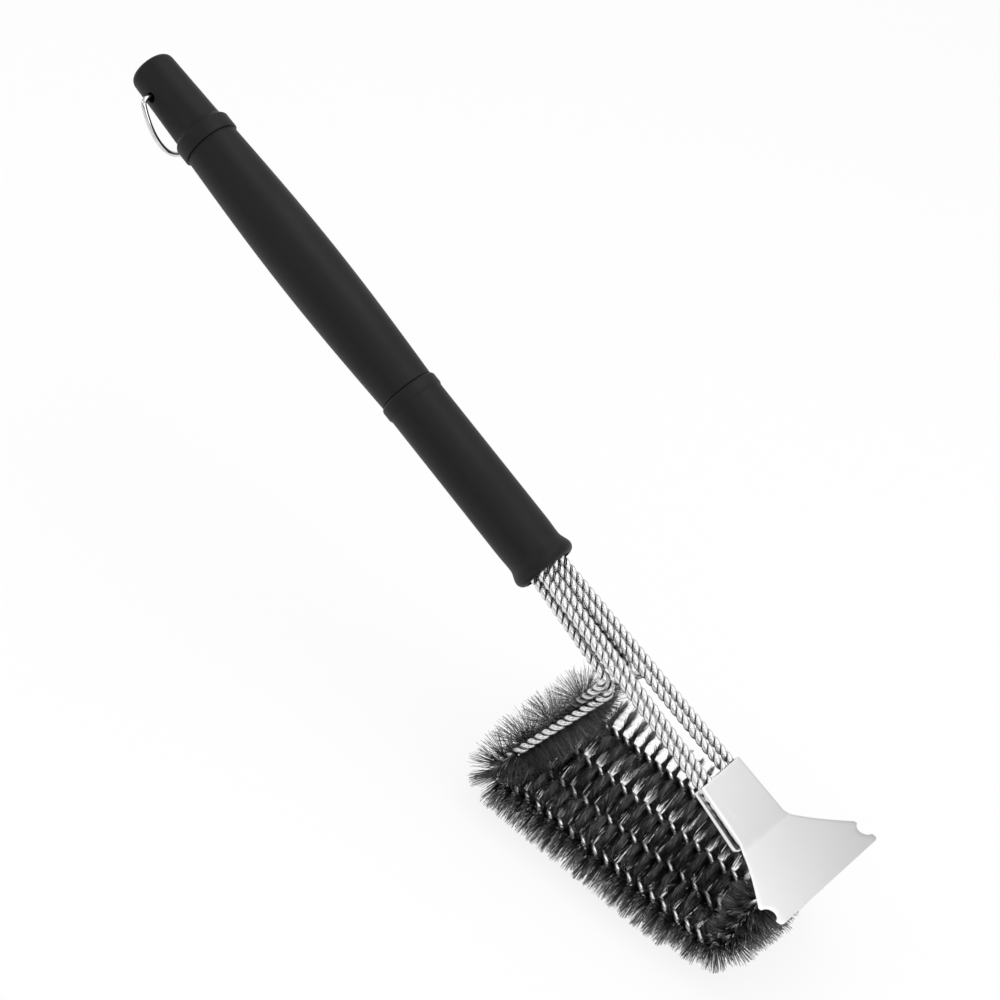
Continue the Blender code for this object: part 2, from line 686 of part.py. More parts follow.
def build():
    """Build every piece, then bring the origin under the middle of the brush."""
    clear_scene()
    head = empty("head_frame", (0.0, 0.0, 0.0), 0.0)
    line = empty("handle_line", handle_origin(), ROW_ANGLE, head)
    end_cap(line)
    grip(line)
    front_sleeve(line)
    stem_anchor(line)
    hang_ring(line)
    scraper(line)
    for loop in range(4):
        wire_loop(loop, head, line)
    bpy.context.view_layer.update()
    pieces = [item for item in bpy.data.objects if item.type in {"MESH", "CURVE"} and not item.hide_render]
    low, high = outer_box(pieces)
    head.location = (-(low.x + high.x) / 2, 0.0, -low.z)
    bpy.context.view_layer.update()


build()
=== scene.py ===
"""Looks of a grill cleaning brush: turned handle, twisted wire loops, bristles, scraper and hang ring.

Everything is in metres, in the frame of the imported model. The handle line is tilted: its own X runs towards
the scraper, its own Y runs across the brush and its own Z points up, away from the bristles.
"""

import json
import logging
import math
from abc import ABC, abstractmethod
from dataclasses import dataclass
from enum import Enum, IntEnum

import bpy
import numpy as np
from mathutils import Matrix, Vector


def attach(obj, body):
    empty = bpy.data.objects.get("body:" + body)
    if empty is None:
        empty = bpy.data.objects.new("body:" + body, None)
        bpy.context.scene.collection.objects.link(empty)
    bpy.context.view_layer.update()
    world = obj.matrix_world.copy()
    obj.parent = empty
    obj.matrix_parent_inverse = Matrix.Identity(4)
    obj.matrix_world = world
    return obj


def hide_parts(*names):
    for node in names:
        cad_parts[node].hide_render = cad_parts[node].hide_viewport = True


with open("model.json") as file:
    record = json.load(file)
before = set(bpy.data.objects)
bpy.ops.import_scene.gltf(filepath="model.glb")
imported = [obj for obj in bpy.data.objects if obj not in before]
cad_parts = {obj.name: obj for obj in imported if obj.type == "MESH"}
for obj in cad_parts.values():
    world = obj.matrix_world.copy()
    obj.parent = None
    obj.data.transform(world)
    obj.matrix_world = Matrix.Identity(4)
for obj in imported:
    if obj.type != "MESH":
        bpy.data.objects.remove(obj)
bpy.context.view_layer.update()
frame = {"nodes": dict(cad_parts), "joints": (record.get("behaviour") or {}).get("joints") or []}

MM = 0.001
LOOPS = 4
WELD = 0.001 * MM
SEAM_WELD = 10 * WELD
SMOOTH_ANGLE = math.radians(32.0)
QUARTER = math.pi / 2
MIDDLE = 0.5
GRAIN_DETAIL = 4.0
GRAIN_ROUGHNESS = 0.6

log = logging.getLogger("grill_brush")

Profile = list[tuple[float, float]]
Triple = tuple[float, float, float]
Four = tuple[float, float, float, float]
Socket = bpy.types.NodeSocket
Inputs = dict[str | int, object]


class Body(Enum):
    """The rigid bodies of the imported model."""

    BRUSH = "brush"
    RING = "ring"


class Slot(Enum):
    """The record's material slots."""

    PLASTIC = "black_plastic"
    WIRE = "bright_wire"
    RING = "ring_steel"
    SHEET = "sheet_steel"
    BRISTLE = "bristle_steel"


class Zone(Enum):
    """The bristled stretches of a wire loop."""

    LEG = "leg"
    ROW = "row"
    NOSE = "nose"


class Corner(IntEnum):
    """The corners between the stretches of a wire loop, by their order along it."""

    LEG_TOP = 2
    HEEL = 3
    ROW_FRONT = 4
    NOSE_TOP = 5


@dataclass(frozen=True)
class HandleLine:
    """The tilted line that the handle is turned about. Its origin is the centre of the front lip.

    Attributes:
        tilt: angle between the handle line and the bristle rows.
        ring_station: where the hang ring's hole lies along the line.
    """

    tilt: float = math.radians(21.0)
    ring_station: float = -266.6 * MM

    def matrix(self) -> Matrix:
        """Place of the line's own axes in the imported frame, found from the ring's hinge.

        Returns:
            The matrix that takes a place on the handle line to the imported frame.
        """
        turn = Matrix.Rotation(self.tilt, 4, "Y")
        hinge = Vector(frame["joints"][0]["pos_m"])
        lip = hinge - turn.to_3x3() @ Vector((self.ring_station, 0.0, 0.0))
        return Matrix.Translation(lip) @ turn

    def at(self, along: float, across: float, up: float) -> Vector:
        """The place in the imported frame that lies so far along, across and above the line."""
        return self.matrix() @ Vector((along, across, up))

    def measured(self, places: np.ndarray) -> np.ndarray:
        """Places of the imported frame, one a row, as distances along, across and above the line."""
        back = np.array(self.matrix().inverted())
        return places @ back[:3, :3].T + back[:3, 3]


LINE = HandleLine()


class Graph:
    """The nodes of one material, world or group, added by type and wired by socket."""

    def __init__(self, tree: bpy.types.NodeTree) -> None:
        """Keep the tree that the nodes go into."""
        self.tree = tree

    def feed(self, node: bpy.types.Node, inputs: Inputs) -> None:
        """Set a node's inputs, or wire those that are given a socket.

        Args:
            node: the node.
            inputs: a value or an output socket for each input, by the input's name or number.
        """
        for name, value in inputs.items():
            if isinstance(value, Socket):
                self.tree.links.new(value, node.inputs[name])
            else:
                node.inputs[name].default_value = value

    def add(self, kind: str, inputs: Inputs | None = None, **settings: object) -> bpy.types.Node:
        """Add one node.

        Args:
            kind: the node's type name, without the ShaderNode prefix.
            inputs: what its inputs are given.
            settings: properties of the node, set by name.

        Returns:
            The new node.
        """
        node = self.tree.nodes.new(f"ShaderNode{kind}")
        for name, value in settings.items():
            setattr(node, name, value)
        self.feed(node, inputs or {})
        return node

    def work(self, operation: str, *terms: object, clamp: bool = False) -> Socket:
        """The result of a Math operation on values or sockets."""
        return self.add("Math", dict(enumerate(terms)), operation=operation, use_clamp=clamp).outputs["Value"]

    def reach(self, vector: Socket, way: Triple) -> Socket:
        """How far a vector reaches along a way."""
        return self.add("VectorMath", {0: vector, 1: way}, operation="DOT_PRODUCT").outputs["Value"]

    def attribute(self, name: str) -> Socket:
        """The factor output of a named mesh attribute."""
        return self.add("Attribute", attribute_name=name).outputs["Fac"]

    def mapped(self, scale: Triple = (1.0, 1.0, 1.0), tilt: float = 0.0) -> Socket:
        """Object coordinates, turned about Y and scaled.

        Args:
            scale: how much each axis is stretched.
            tilt: turn about Y before the scale, so that a pattern follows the handle line.

        Returns:
            The vector output.
        """
        where = self.add("TexCoord").outputs["Object"]
        turned_way = self.add("Mapping", {"Vector": where, "Rotation": (0.0, -tilt, 0.0)}).outputs["Vector"]
        return self.add("Mapping", {"Vector": turned_way, "Scale": scale}).outputs["Vector"]

    def mix(self, share: Socket, low: Triple, high: Triple) -> Socket:
        """A colour between two fixed colours.

        Args:
            share: the factor, 0 for low and 1 for high.
            low: colour at 0.
            high: colour at 1.

        Returns:
            The colour output.
        """
        blend = self.add("Mix", {"Factor": share}, data_type="RGBA")
        ends = [socket for socket in blend.inputs if socket.type == "RGBA"]
        for socket, colour in zip(ends, (low, high)):
            socket.default_value = (*colour, 1.0)
        return next(socket for socket in blend.outputs if socket.type == "RGBA")

    def spread(self, value: Socket, low: float, high: float, start: float = 0.0, stop: float = 1.0,
               ease: str = "LINEAR") -> Socket:
        """A value spread over another range, and held at its ends.

        Args:
            value: the value to spread.
            low: result at the start.
            high: result at the stop.
            start: value that gives low.
            stop: value that gives high.
            ease: how the result runs between them.

        Returns:
            The result socket.
        """
        ranges = {"Value": value, "From Min": start, "From Max": stop, "To Min": low, "To Max": high}
        return self.add("MapRange", ranges, interpolation_type=ease).outputs["Result"]

    def bump(self, height: Socket, distance: float, strength: float) -> Socket:
        """A normal raised by a height from 0 to 1, which stands out by a distance."""
        given = {"Height": height, "Distance": distance, "Strength": strength}
        return self.add("Bump", given).outputs["Normal"]


def grain_group() -> bpy.types.NodeTree:
    """Shared effect: uneven grain of a worked surface, at a scale that each finish chooses.

    Returns:
        A group with Vector, Scale and Contrast in, and Mask and Height out.
    """
    name = "surface_grain"
    if name in bpy.data.node_groups:
        return bpy.data.node_groups[name]
    tree = bpy.data.node_groups.new(name, "ShaderNodeTree")
    tree.interface.new_socket("Vector", in_out="INPUT", socket_type="NodeSocketVector")
    for label, way in (("Scale", "INPUT"), ("Contrast", "INPUT"), ("Mask", "OUTPUT"), ("Height", "OUTPUT")):
        tree.interface.new_socket(label, in_out=way, socket_type="NodeSocketFloat")
    graph = Graph(tree)
    given = tree.nodes.new("NodeGroupInput").outputs
    noise = graph.add("TexNoise", {"Vector": given["Vector"], "Scale": given["Scale"],
                                   "Detail": GRAIN_DETAIL, "Roughness": GRAIN_ROUGHNESS}).outputs["Fac"]
    centred = graph.work("SUBTRACT", noise, MIDDLE)
    mask = graph.work("MULTIPLY_ADD", centred, given["Contrast"], MIDDLE, clamp=True)
    graph.feed(tree.nodes.new("NodeGroupOutput"), {"Mask": mask, "Height": noise})
    return tree


def grain(graph: Graph, vector: Socket, scale: float, contrast: float = 1.0) -> tuple[Socket, Socket]:
    """Place the shared grain in a material.

    Args:
        graph: the material's nodes.
        vector: the coordinates that it reads.
        scale: grains per metre.
        contrast: how steep the mask is.

    Returns:
        The mask and the height.
    """
    given = {"Vector": vector, "Scale": scale, "Contrast": contrast}
    placed = graph.add("Group", given, node_tree=grain_group()).outputs
    return placed["Mask"], placed["Height"]


class Finish(ABC):
    """A surface finish that makes one material."""

    @abstractmethod
    def paint(self, graph: Graph) -> Inputs:
        """What the finish gives to the inputs of a Principled shader, with its nodes put in the graph."""

    def material(self) -> bpy.types.Material:
        """The finish as a material, made once.

        Returns:
            The material, named after the finish's class.
        """
        name = type(self).__name__
        if name in bpy.data.materials:
            return bpy.data.materials[name]
        made = bpy.data.materials.new(name)
        made.use_nodes = True
        graph = Graph(made.node_tree)
        graph.feed(made.node_tree.nodes["Principled BSDF"], self.paint(graph))
        return made


@dataclass(frozen=True)
class MouldedPlastic(Finish):
    """Satin black plastic with a fine moulded grain, a little handled."""

    dark: Triple = (0.0060, 0.0060, 0.0063)
    pale: Triple = (0.0095, 0.0095, 0.0098)
    smooth: float = 0.45
    rough: float = 0.58
    shine: float = 0.20
    grain_scale: float = 2600.0
    grain_height: float = 0.03 * MM
    grain_strength: float = 0.35
    smudge_scale: float = 55.0
    smudge_contrast: float = 1.8
    smudge_stretch: Triple = (0.35, 1.0, 1.0)

    def paint(self, graph: Graph) -> Inputs:
        """Fine grain in the bump, and wide handling marks in the colour and the gloss.

        Args:
            graph: the material's nodes.

        Returns:
            What the shader's inputs are given.
        """
        _, fine = grain(graph, graph.mapped(), self.grain_scale)
        marks = graph.mapped(self.smudge_stretch, LINE.tilt)
        handled, _ = grain(graph, marks, self.smudge_scale, self.smudge_contrast)
        return {
            "Base Color": graph.mix(handled, self.dark, self.pale),
            "Roughness": graph.spread(handled, self.rough, self.smooth),
            "Normal": graph.bump(fine, self.grain_height, self.grain_strength),
            "Specular IOR Level": self.shine,
        }


@dataclass(frozen=True)
class DrawnWire(Finish):
    """Bright drawn steel wire, darkened by painted shade deep in the groove between its strands and where it
    lies out of the light.
    """

    bright: Triple = (0.80, 0.80, 0.80)
    # Colour of the painted shade in the groove and where the wire is out of the light.
    groove: Triple = (0.035, 0.035, 0.037)
    groove_shade_from: float = 0.30
    groove_shade_to: float = 0.80
    smooth: float = 0.22
    rough: float = 0.34
    line_scale: float = 900.0
    line_contrast: float = 2.0
    line_stretch: Triple = (0.15, 1.0, 1.0)
    line_height: float = 0.02 * MM
    line_strength: float = 0.2

    def paint(self, graph: Graph) -> Inputs:
        """Draw lines in the gloss, and painted shade from the mesh's own attribute.

        Args:
            graph: the material's nodes.

        Returns:
            What the shader's inputs are given.
        """
        way = graph.mapped(self.line_stretch, LINE.tilt)
        lines, height = grain(graph, way, self.line_scale, self.line_contrast)
        # Painted shade: the mesh's attribute darkens the colour in the groove between the strands and where
        # the wire is out of the light.
        groove = graph.attribute("groove")
        depth = graph.spread(groove, 0.0, 1.0, self.groove_shade_from, self.groove_shade_to, "SMOOTHSTEP")
        return {
            "Base Color": graph.mix(depth, self.bright, self.groove),
            "Roughness": graph.spread(lines, self.smooth, self.rough),
            "Normal": graph.bump(height, self.line_height, self.line_strength),
            "Metallic": 1.0,
        }


@dataclass(frozen=True)
class PolishedWire(Finish):
    """Polished steel wire of the hang ring."""

    bright: Triple = (0.76, 0.76, 0.77)
    worn: Triple = (0.58, 0.58, 0.59)
    smooth: float = 0.08
    rough: float = 0.22
    mark_scale: float = 380.0
    mark_contrast: float = 2.2

    def paint(self, graph: Graph) -> Inputs:
        """Faint rub marks in the colour and the gloss.

        Args:
            graph: the material's nodes.

        Returns:
            What the shader's inputs are given.
        """
        marks, _ = grain(graph, graph.mapped(), self.mark_scale, self.mark_contrast)
        return {
            "Base Color": graph.mix(marks, self.bright, self.worn),
            "Roughness": graph.spread(marks, self.smooth, self.rough),
            "Metallic": 1.0,
        }


@dataclass(frozen=True)
class RolledSheet(Finish):
    """Satin stainless sheet with fine roll lines along the handle line, and painted shade that darkens it
    towards the far tip.
    """

    bright: Triple = (0.88, 0.88, 0.88)
    # Colour of the faint clouds, and of the painted shade towards the far tip.
    cloud_and_painted_shade: Triple = (0.58, 0.58, 0.585)
    smooth: float = 0.30
    rough: float = 0.40
    line_scale: float = 1500.0
    line_contrast: float = 1.6
    line_stretch: Triple = (0.02, 1.0, 0.3)
    line_height: float = 0.01 * MM
    line_strength: float = 0.15
    cloud_scale: float = 60.0
    cloud_contrast: float = 1.4
    cloud_share: float = 0.10
    painted_shade_way: Triple = (0.77, 0.64, 0.0)
    painted_shade_from: float = 121.0 * MM
    painted_shade_to: float = 187.0 * MM

    def paint(self, graph: Graph) -> Inputs:
        """Long roll lines in the bump and the gloss, and faint clouds with a painted shade towards the far
        tip in the colour.

        Args:
            graph: the material's nodes.

        Returns:
            What the shader's inputs are given.
        """
        way = graph.mapped(self.line_stretch, LINE.tilt)
        lines, height = grain(graph, way, self.line_scale, self.line_contrast)
        even = graph.mapped()
        clouds, _ = grain(graph, even, self.cloud_scale, self.cloud_contrast)
        # Painted shade: the colour darkens along a fixed way towards the blade's far tip.
        far = graph.reach(even, self.painted_shade_way)
        painted_shade_ramp = graph.spread(far, 0.0, 1.0 - self.cloud_share, self.painted_shade_from, self.painted_shade_to)
        share = graph.work("MULTIPLY_ADD", clouds, self.cloud_share, painted_shade_ramp)
        return {
            "Base Color": graph.mix(share, self.bright, self.cloud_and_painted_shade),
            "Roughness": graph.spread(lines, self.smooth, self.rough),
            "Normal": graph.bump(height, self.line_height, self.line_strength),
            "Metallic": 1.0,
        }


@dataclass(frozen=True)
class DarkBristle(Finish):
    """Blackened steel bristles. Each wire has its own shade, painted shade darkens the roots and painted
    light makes the tips a little paler.
    """

    dark: Triple = (0.075, 0.075, 0.076)
    pale: Triple = (0.550, 0.550, 0.555)
    smooth: float = 0.24
    rough: float = 0.40
    metallic: float = 0.85
    # Painted shade at the roots, and painted light that makes the tips paler.
    root_shade_share: float = 0.40
    tip_light_from: float = 0.60
    tip_light_share: float = 0.05
    grain_scale: float = 1800.0
    grain_contrast: float = 1.5

    def paint(self, graph: Graph) -> Inputs:
        """Each bristle's own shade from the mesh's attributes, darkened at the root by painted shade and
        raised at the tip by painted light, with a fine grain in the gloss.

        Args:
            graph: the material's nodes.

        Returns:
            What the shader's inputs are given.
        """
        reach = graph.attribute("reach")
        # Painted shade near the wire and painted light towards the tips, both from the reach attribute.
        shade = graph.work("MULTIPLY", graph.attribute("shade"), graph.spread(reach, self.root_shade_share, 1.0))
        share = graph.work("MAXIMUM", shade, graph.spread(reach, 0.0, self.tip_light_share, self.tip_light_from))
        fine, _ = grain(graph, graph.mapped(), self.grain_scale, self.grain_contrast)
        return {
            "Base Color": graph.mix(share, self.dark, self.pale),
            "Roughness": graph.spread(fine, self.smooth, self.rough),
            "Metallic": self.metallic,
        }


def deselect() -> None:
    """Leave edit mode and select nothing."""
    if bpy.context.mode != "OBJECT":
        bpy.ops.object.mode_set(mode="OBJECT")
    bpy.ops.object.select_all(action="DESELECT")


def make_active(piece: bpy.types.Object) -> None:
    """Select one piece alone and make it the active one.

    Args:
        piece: the piece.
    """
    deselect()
    piece.select_set(True)
    bpy.context.view_layer.objects.active = piece


def apply_modifiers(piece: bpy.types.Object) -> None:
    """Apply a piece's modifiers in order.

    Args:
        piece: the piece.
    """
    make_active(piece)
    for name in [modifier.name for modifier in piece.modifiers]:
        bpy.ops.object.modifier_apply(modifier=name)


def weld(threshold: float) -> None:
    """Merge the doubles of the mesh in edit mode, point its faces outwards and leave edit mode.

    Args:
        threshold: how far apart two points may lie to be merged.
    """
    bpy.ops.mesh.select_all(action="SELECT")
    bpy.ops.mesh.remove_doubles(threshold=threshold)
    bpy.ops.mesh.normals_make_consistent(inside=False)
    bpy.ops.object.mode_set(mode="OBJECT")


def put_in_scene(name: str, data: bpy.types.ID) -> bpy.types.Object:
    """Put a mesh, curve, light or camera in the scene.

    Args:
        name: the new object's name.
        data: what it shows.

    Returns:
        The object.
    """
    piece = bpy.data.objects.new(name, data)
    bpy.context.scene.collection.objects.link(piece)
    return piece


def place_in_mesh(piece: bpy.types.Object, place: Matrix) -> None:
    """Move a piece by its mesh, so that its object stays at the origin, and shade it smooth.

    Args:
        piece: the piece, modelled on the handle line's own axes.
        place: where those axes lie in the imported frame.
    """
    piece.data.transform(place)
    piece.data.update()
    make_active(piece)
    bpy.ops.object.shade_smooth_by_angle(angle=SMOOTH_ANGLE)


def hand_over(piece: bpy.types.Object, finish: Finish, nodes: list[str],
              body: Body = Body.BRUSH) -> None:
    """Dress a finished piece, and set it on its body in place of the solids that it stands for.

    Args:
        piece: the finished piece.
        finish: its surface.
        nodes: the solids that it stands for.
        body: the body that it moves with.
    """
    piece.data.materials.clear()
    piece.data.materials.append(finish.material())
    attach(piece, body.value)
    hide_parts(*nodes)
    log.info("%s: %d faces for %s", piece.name, len(piece.data.polygons), ", ".join(nodes))


def arc(centre: tuple[float, float], radius: float, start: float, stop: float, steps: int = 8) -> Profile:
    """Points of an arc in the turning plane.

    Args:
        centre: its centre, along the line and out from it.
        radius: its radius.
        start: first angle in degrees, 0 along the line and 90 out from it.
        stop: last angle in degrees.
        steps: number of steps.

    Returns:
        The points from start to stop.
    """
    angles = [math.radians(start + (stop - start) * step / steps) for step in range(steps + 1)]
    return [(centre[0] + radius * math.cos(angle), centre[1] + radius * math.sin(angle)) for angle in angles]


def eased(start: tuple[float, float], stop: tuple[float, float], steps: int = 10) -> Profile:
    """Points of a smooth S between two places of the turning plane.

    Args:
        start: where the S starts, itself left out.
        stop: where it ends.
        steps: number of steps.

    Returns:
        The points after the start.
    """
    points = []
    for step in range(1, steps + 1):
        share = step / steps
        rise = share * share * (3.0 - 2.0 * share)
        points.append((start[0] + (stop[0] - start[0]) * share, start[1] + (stop[1] - start[1]) * rise))
    return points


def turned(name: str, profile: Profile, sides: int) -> bpy.types.Object:
    """Draw a profile as a chain of points and spin it about the handle line.

    Args:
        name: the piece's name.
        profile: points along the line and out from it.
        sides: number of steps round the line.

    Returns:
        The piece, on the handle line's own axes.
    """
    deselect()
    bpy.ops.mesh.primitive_plane_add(size=MM)
    piece = bpy.context.object
    piece.name = name
    bpy.ops.object.mode_set(mode="EDIT")
    bpy.ops.mesh.select_all(action="SELECT")
    bpy.ops.mesh.merge(type="CENTER")
    spots = [Vector((along, 0.0, radius)) for along, radius in profile]
    bpy.ops.transform.translate(value=spots[0])
    for before, after in zip(spots, spots[1:]):
        bpy.ops.mesh.extrude_region_move(TRANSFORM_OT_translate={"value": after - before})
    bpy.ops.mesh.select_all(action="SELECT")
    bpy.ops.mesh.spin(steps=sides, angle=math.tau, center=(0.0, 0.0, 0.0), axis=(1.0, 0.0, 0.0))
    weld(WELD)
    return piece


def mesh_piece(name: str, points: np.ndarray, faces: list, **values: np.ndarray) -> bpy.types.Object:
    """A piece from worked-out points and faces, with named values on its points.

    Args:
        name: the piece's name.
        points: the points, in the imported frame.
        faces: each face as a tuple of point numbers.
        values: one number a point for each named attribute.

    Returns:
        The smooth-shaded piece.
    """
    mesh = bpy.data.meshes.new(name)
    mesh.from_pydata(points.tolist(), [], faces)
    for label, numbers in values.items():
        layer = mesh.attributes.new(label, "FLOAT", "POINT")
        layer.data.foreach_set("value", numbers.astype(np.float32))
    mesh.shade_smooth()
    mesh.update()
    return put_in_scene(name, mesh)


def unit(rows: np.ndarray) -> np.ndarray:
    """Each row at a length of 1."""
    return rows / np.linalg.norm(rows, axis=1)[:, None]


@dataclass
class Handle:
    """The three turned mouldings of the handle and the plug that holds the wire ends.

    Attributes:
        sides: steps round each turned piece.
        gap: hairline joint between two mouldings.
        dome_shares: how far out the points of the cap's shallow dome lie.
    """

    sides: int = 96
    gap: float = 0.12 * MM
    sleeve_length: float = 95.7 * MM
    sleeve_reach: float = 2.1 * MM
    sleeve_radius: float = 13.25 * MM
    sleeve_collar_radius: float = 13.8 * MM
    sleeve_collar_length: float = 6.0 * MM
    neck_radius: float = 13.0 * MM
    neck_from_mouth: float = 9.6 * MM
    neck_run: float = 9.0 * MM
    lip_radius: float = 14.6 * MM
    lip_rounding: float = 3.4 * MM
    mouth_radius: float = 11.45 * MM
    mouth_depth: float = 30.3 * MM
    grip_length: float = 138.8 * MM
    grip_back_radius: float = 12.6 * MM
    grip_front_radius: float = 12.8 * MM
    grip_swell: float = 1.9 * MM
    grip_steps: int = 40
    cap_length: float = 46.1 * MM
    cap_back_radius: float = 10.45 * MM
    cap_front_radius: float = 11.65 * MM
    cap_rounding: float = 3.6 * MM
    cap_dome: float = 0.6 * MM
    dome_shares: Four = (0.0, 0.3, 0.6, 0.85)
    cap_collar_radius: float = 13.6 * MM
    cap_collar_length: float = 9.8 * MM
    cap_shoulder: float = 3.2 * MM
    shoulder: float = 1.8 * MM
    fillet: float = 0.9 * MM
    edge: float = 0.35 * MM
    ring_hole_radius: float = 2.4 * MM
    ring_hole_ahead: float = 0.6 * MM
    ring_hole_sides: int = 40

    def build(self) -> None:
        """Make the cap, the grip and the sleeve, and dress the plug inside the sleeve."""
        plastic = MouldedPlastic()
        for piece, node in ((self.cap(), "end_cap"), (self.grip(), "grip"), (self.sleeve(), "front_sleeve")):
            place_in_mesh(piece, LINE.matrix())
            hand_over(piece, plastic, [node])
        plug = frame["nodes"]["stem_anchor"]
        plug.data.materials.clear()
        plug.data.materials.append(plastic.material())

    def sleeve(self) -> bpy.types.Object:
        """Sleeve with a shouldered collar behind and a flared, rounded lip round an open mouth.

        Returns:
            The sleeve, on the handle line's own axes.
        """
        back = -self.sleeve_length
        neck = back + self.sleeve_collar_length
        collar, barrel, lip = self.sleeve_collar_radius, self.sleeve_radius, self.lip_radius
        profile = [(back, 0.0), (back, collar - self.shoulder)]
        profile += arc((back + self.shoulder, collar - self.shoulder), self.shoulder, 170, 90)
        profile += arc((neck - self.edge, collar - self.edge), self.edge, 90, 20, 3)
        profile += arc((neck + self.fillet, barrel + self.edge), self.edge, 200, 270, 3)
        mouth = self.sleeve_reach
        waist = (mouth - self.neck_from_mouth, self.neck_radius)
        start = (waist[0] - self.neck_run, barrel)
        profile += [start] + eased(start, waist)
        profile += eased(waist, (mouth - self.lip_rounding, lip))
        profile += arc((mouth - self.lip_rounding, lip - self.lip_rounding), self.lip_rounding, 82, 15, 10)
        profile += arc((mouth - self.edge, self.mouth_radius + self.edge), self.edge, 20, -90, 4)
        profile += [(-self.mouth_depth, self.mouth_radius), (-self.mouth_depth, 0.0)]
        return turned("handle_sleeve", profile, self.sides)

    def grip(self) -> bpy.types.Object:
        """Barrel-shaped grip between the two collars.

        Returns:
            The grip, on the handle line's own axes.
        """
        front = -self.sleeve_length - self.gap
        back = front - self.grip_length
        profile = [(back, 0.0)]
        for step in range(self.grip_steps + 1):
            share = step / self.grip_steps
            radius = self.grip_back_radius + (self.grip_front_radius - self.grip_back_radius) * share
            radius += self.grip_swell * math.sin(math.pi * share)
            profile.append((back + self.grip_length * share, radius))
        return turned("handle_grip", profile + [(front, 0.0)], self.sides)

    def cap(self) -> bpy.types.Object:
        """Tapered end cap with a shallow dome, a shouldered collar and the cross hole of the ring.

        Returns:
            The cap, on the handle line's own axes.
        """
        front = -self.sleeve_length - self.grip_length - 2 * self.gap
        back = front - self.cap_length
        collar = self.cap_collar_radius
        root = front - self.cap_collar_length
        flat = self.cap_back_radius - self.cap_rounding
        profile = [(back + self.cap_dome * (share ** 2), flat * share) for share in self.dome_shares]
        profile += arc((back + self.cap_dome + self.cap_rounding, flat), self.cap_rounding, 172, 92, 10)
        profile += [(root, self.cap_front_radius)]
        profile += eased((root, self.cap_front_radius), (root + self.cap_shoulder, collar))
        profile += arc((front - self.edge, collar - self.edge), self.edge, 90, 0, 4)
        piece = turned("handle_cap", profile + [(front, 0.0)], self.sides)
        self.drill(piece)
        return piece

    def drill(self, cap: bpy.types.Object) -> None:
        """Cut the ring's cross hole through the cap.

        Args:
            cap: the cap, on the handle line's own axes.
        """
        deselect()
        place = (LINE.ring_station + self.ring_hole_ahead, 0.0, 0.0)
        bpy.ops.mesh.primitive_cylinder_add(vertices=self.ring_hole_sides, radius=self.ring_hole_radius,
                                            depth=4 * self.cap_collar_radius, location=place,
                                            rotation=(QUARTER, 0.0, 0.0))
        bit = bpy.context.object
        hole = cap.modifiers.new("ring_hole", "BOOLEAN")
        hole.operation = "DIFFERENCE"
        hole.solver = "EXACT"
        hole.object = bit
        apply_modifiers(cap)
        bpy.data.objects.remove(bit, do_unlink=True)


@dataclass
class HangRing:
    """A D of polished round wire through the cap's cross hole, at rest leaning towards the grip.

    Attributes:
        lean: turn of the ring below the handle line.
        fullness: 2 for an elliptical bow, more for a squarer one.
        slid: how far it has slid through its hole towards +Y.
        roundness: steps of a quarter of the wire's own round.
    """

    wire: float = 2.4 * MM
    half_width: float = 14.5 * MM
    reach: float = 28.3 * MM
    corner: float = 3.0 * MM
    fullness: float = 2.1
    slid: float = -0.7 * MM
    lean: float = math.radians(40.0)
    bow_steps: int = 72
    corner_steps: int = 10
    roundness: int = 6

    def outline(self) -> Profile:
        """Centre line of the wire, along the ring and across it.

        Returns:
            The points from one end of the bar round the bow to the other end.
        """
        side = []
        for step in range(self.corner_steps):
            angle = math.radians(-90.0 + 90.0 * step / self.corner_steps)
            side.append((self.corner * (1.0 + math.sin(angle)),
                         self.half_width - self.corner * (1.0 - math.cos(angle))))
        bow = []
        for step in range(self.bow_steps + 1):
            angle = math.pi * step / self.bow_steps
            across = math.copysign(abs(math.cos(angle)) ** (2 / self.fullness), math.cos(angle))
            along = max(0.0, math.sin(angle)) ** (2 / self.fullness)
            bow.append((self.corner + (self.reach - self.corner) * along, self.half_width * across))
        return side + bow + [(along, -across) for along, across in reversed(side)]

    def build(self) -> None:
        """Bend the wire along its outline and hang it on the ring's body."""
        curve = bpy.data.curves.new("hang_ring_wire", "CURVE")
        curve.dimensions = "3D"
        curve.bevel_depth = self.wire / 2
        curve.bevel_resolution = self.roundness
        spline = curve.splines.new("POLY")
        points = self.outline()
        spline.points.add(len(points) - 1)
        for knot, (along, across) in zip(spline.points, points):
            knot.co = (along, across, 0.0, 1.0)
        spline.use_cyclic_u = True
        make_active(put_in_scene("hang_ring_wire", curve))
        bpy.ops.object.convert(target="MESH")
        piece = bpy.context.object
        pivot = Matrix.Translation((LINE.ring_station, self.slid, 0.0)) @ Matrix.Rotation(self.lean, 4, "Y")
        place_in_mesh(piece, LINE.matrix() @ pivot)
        hand_over(piece, PolishedWire(), ["hang_ring"], Body.RING)


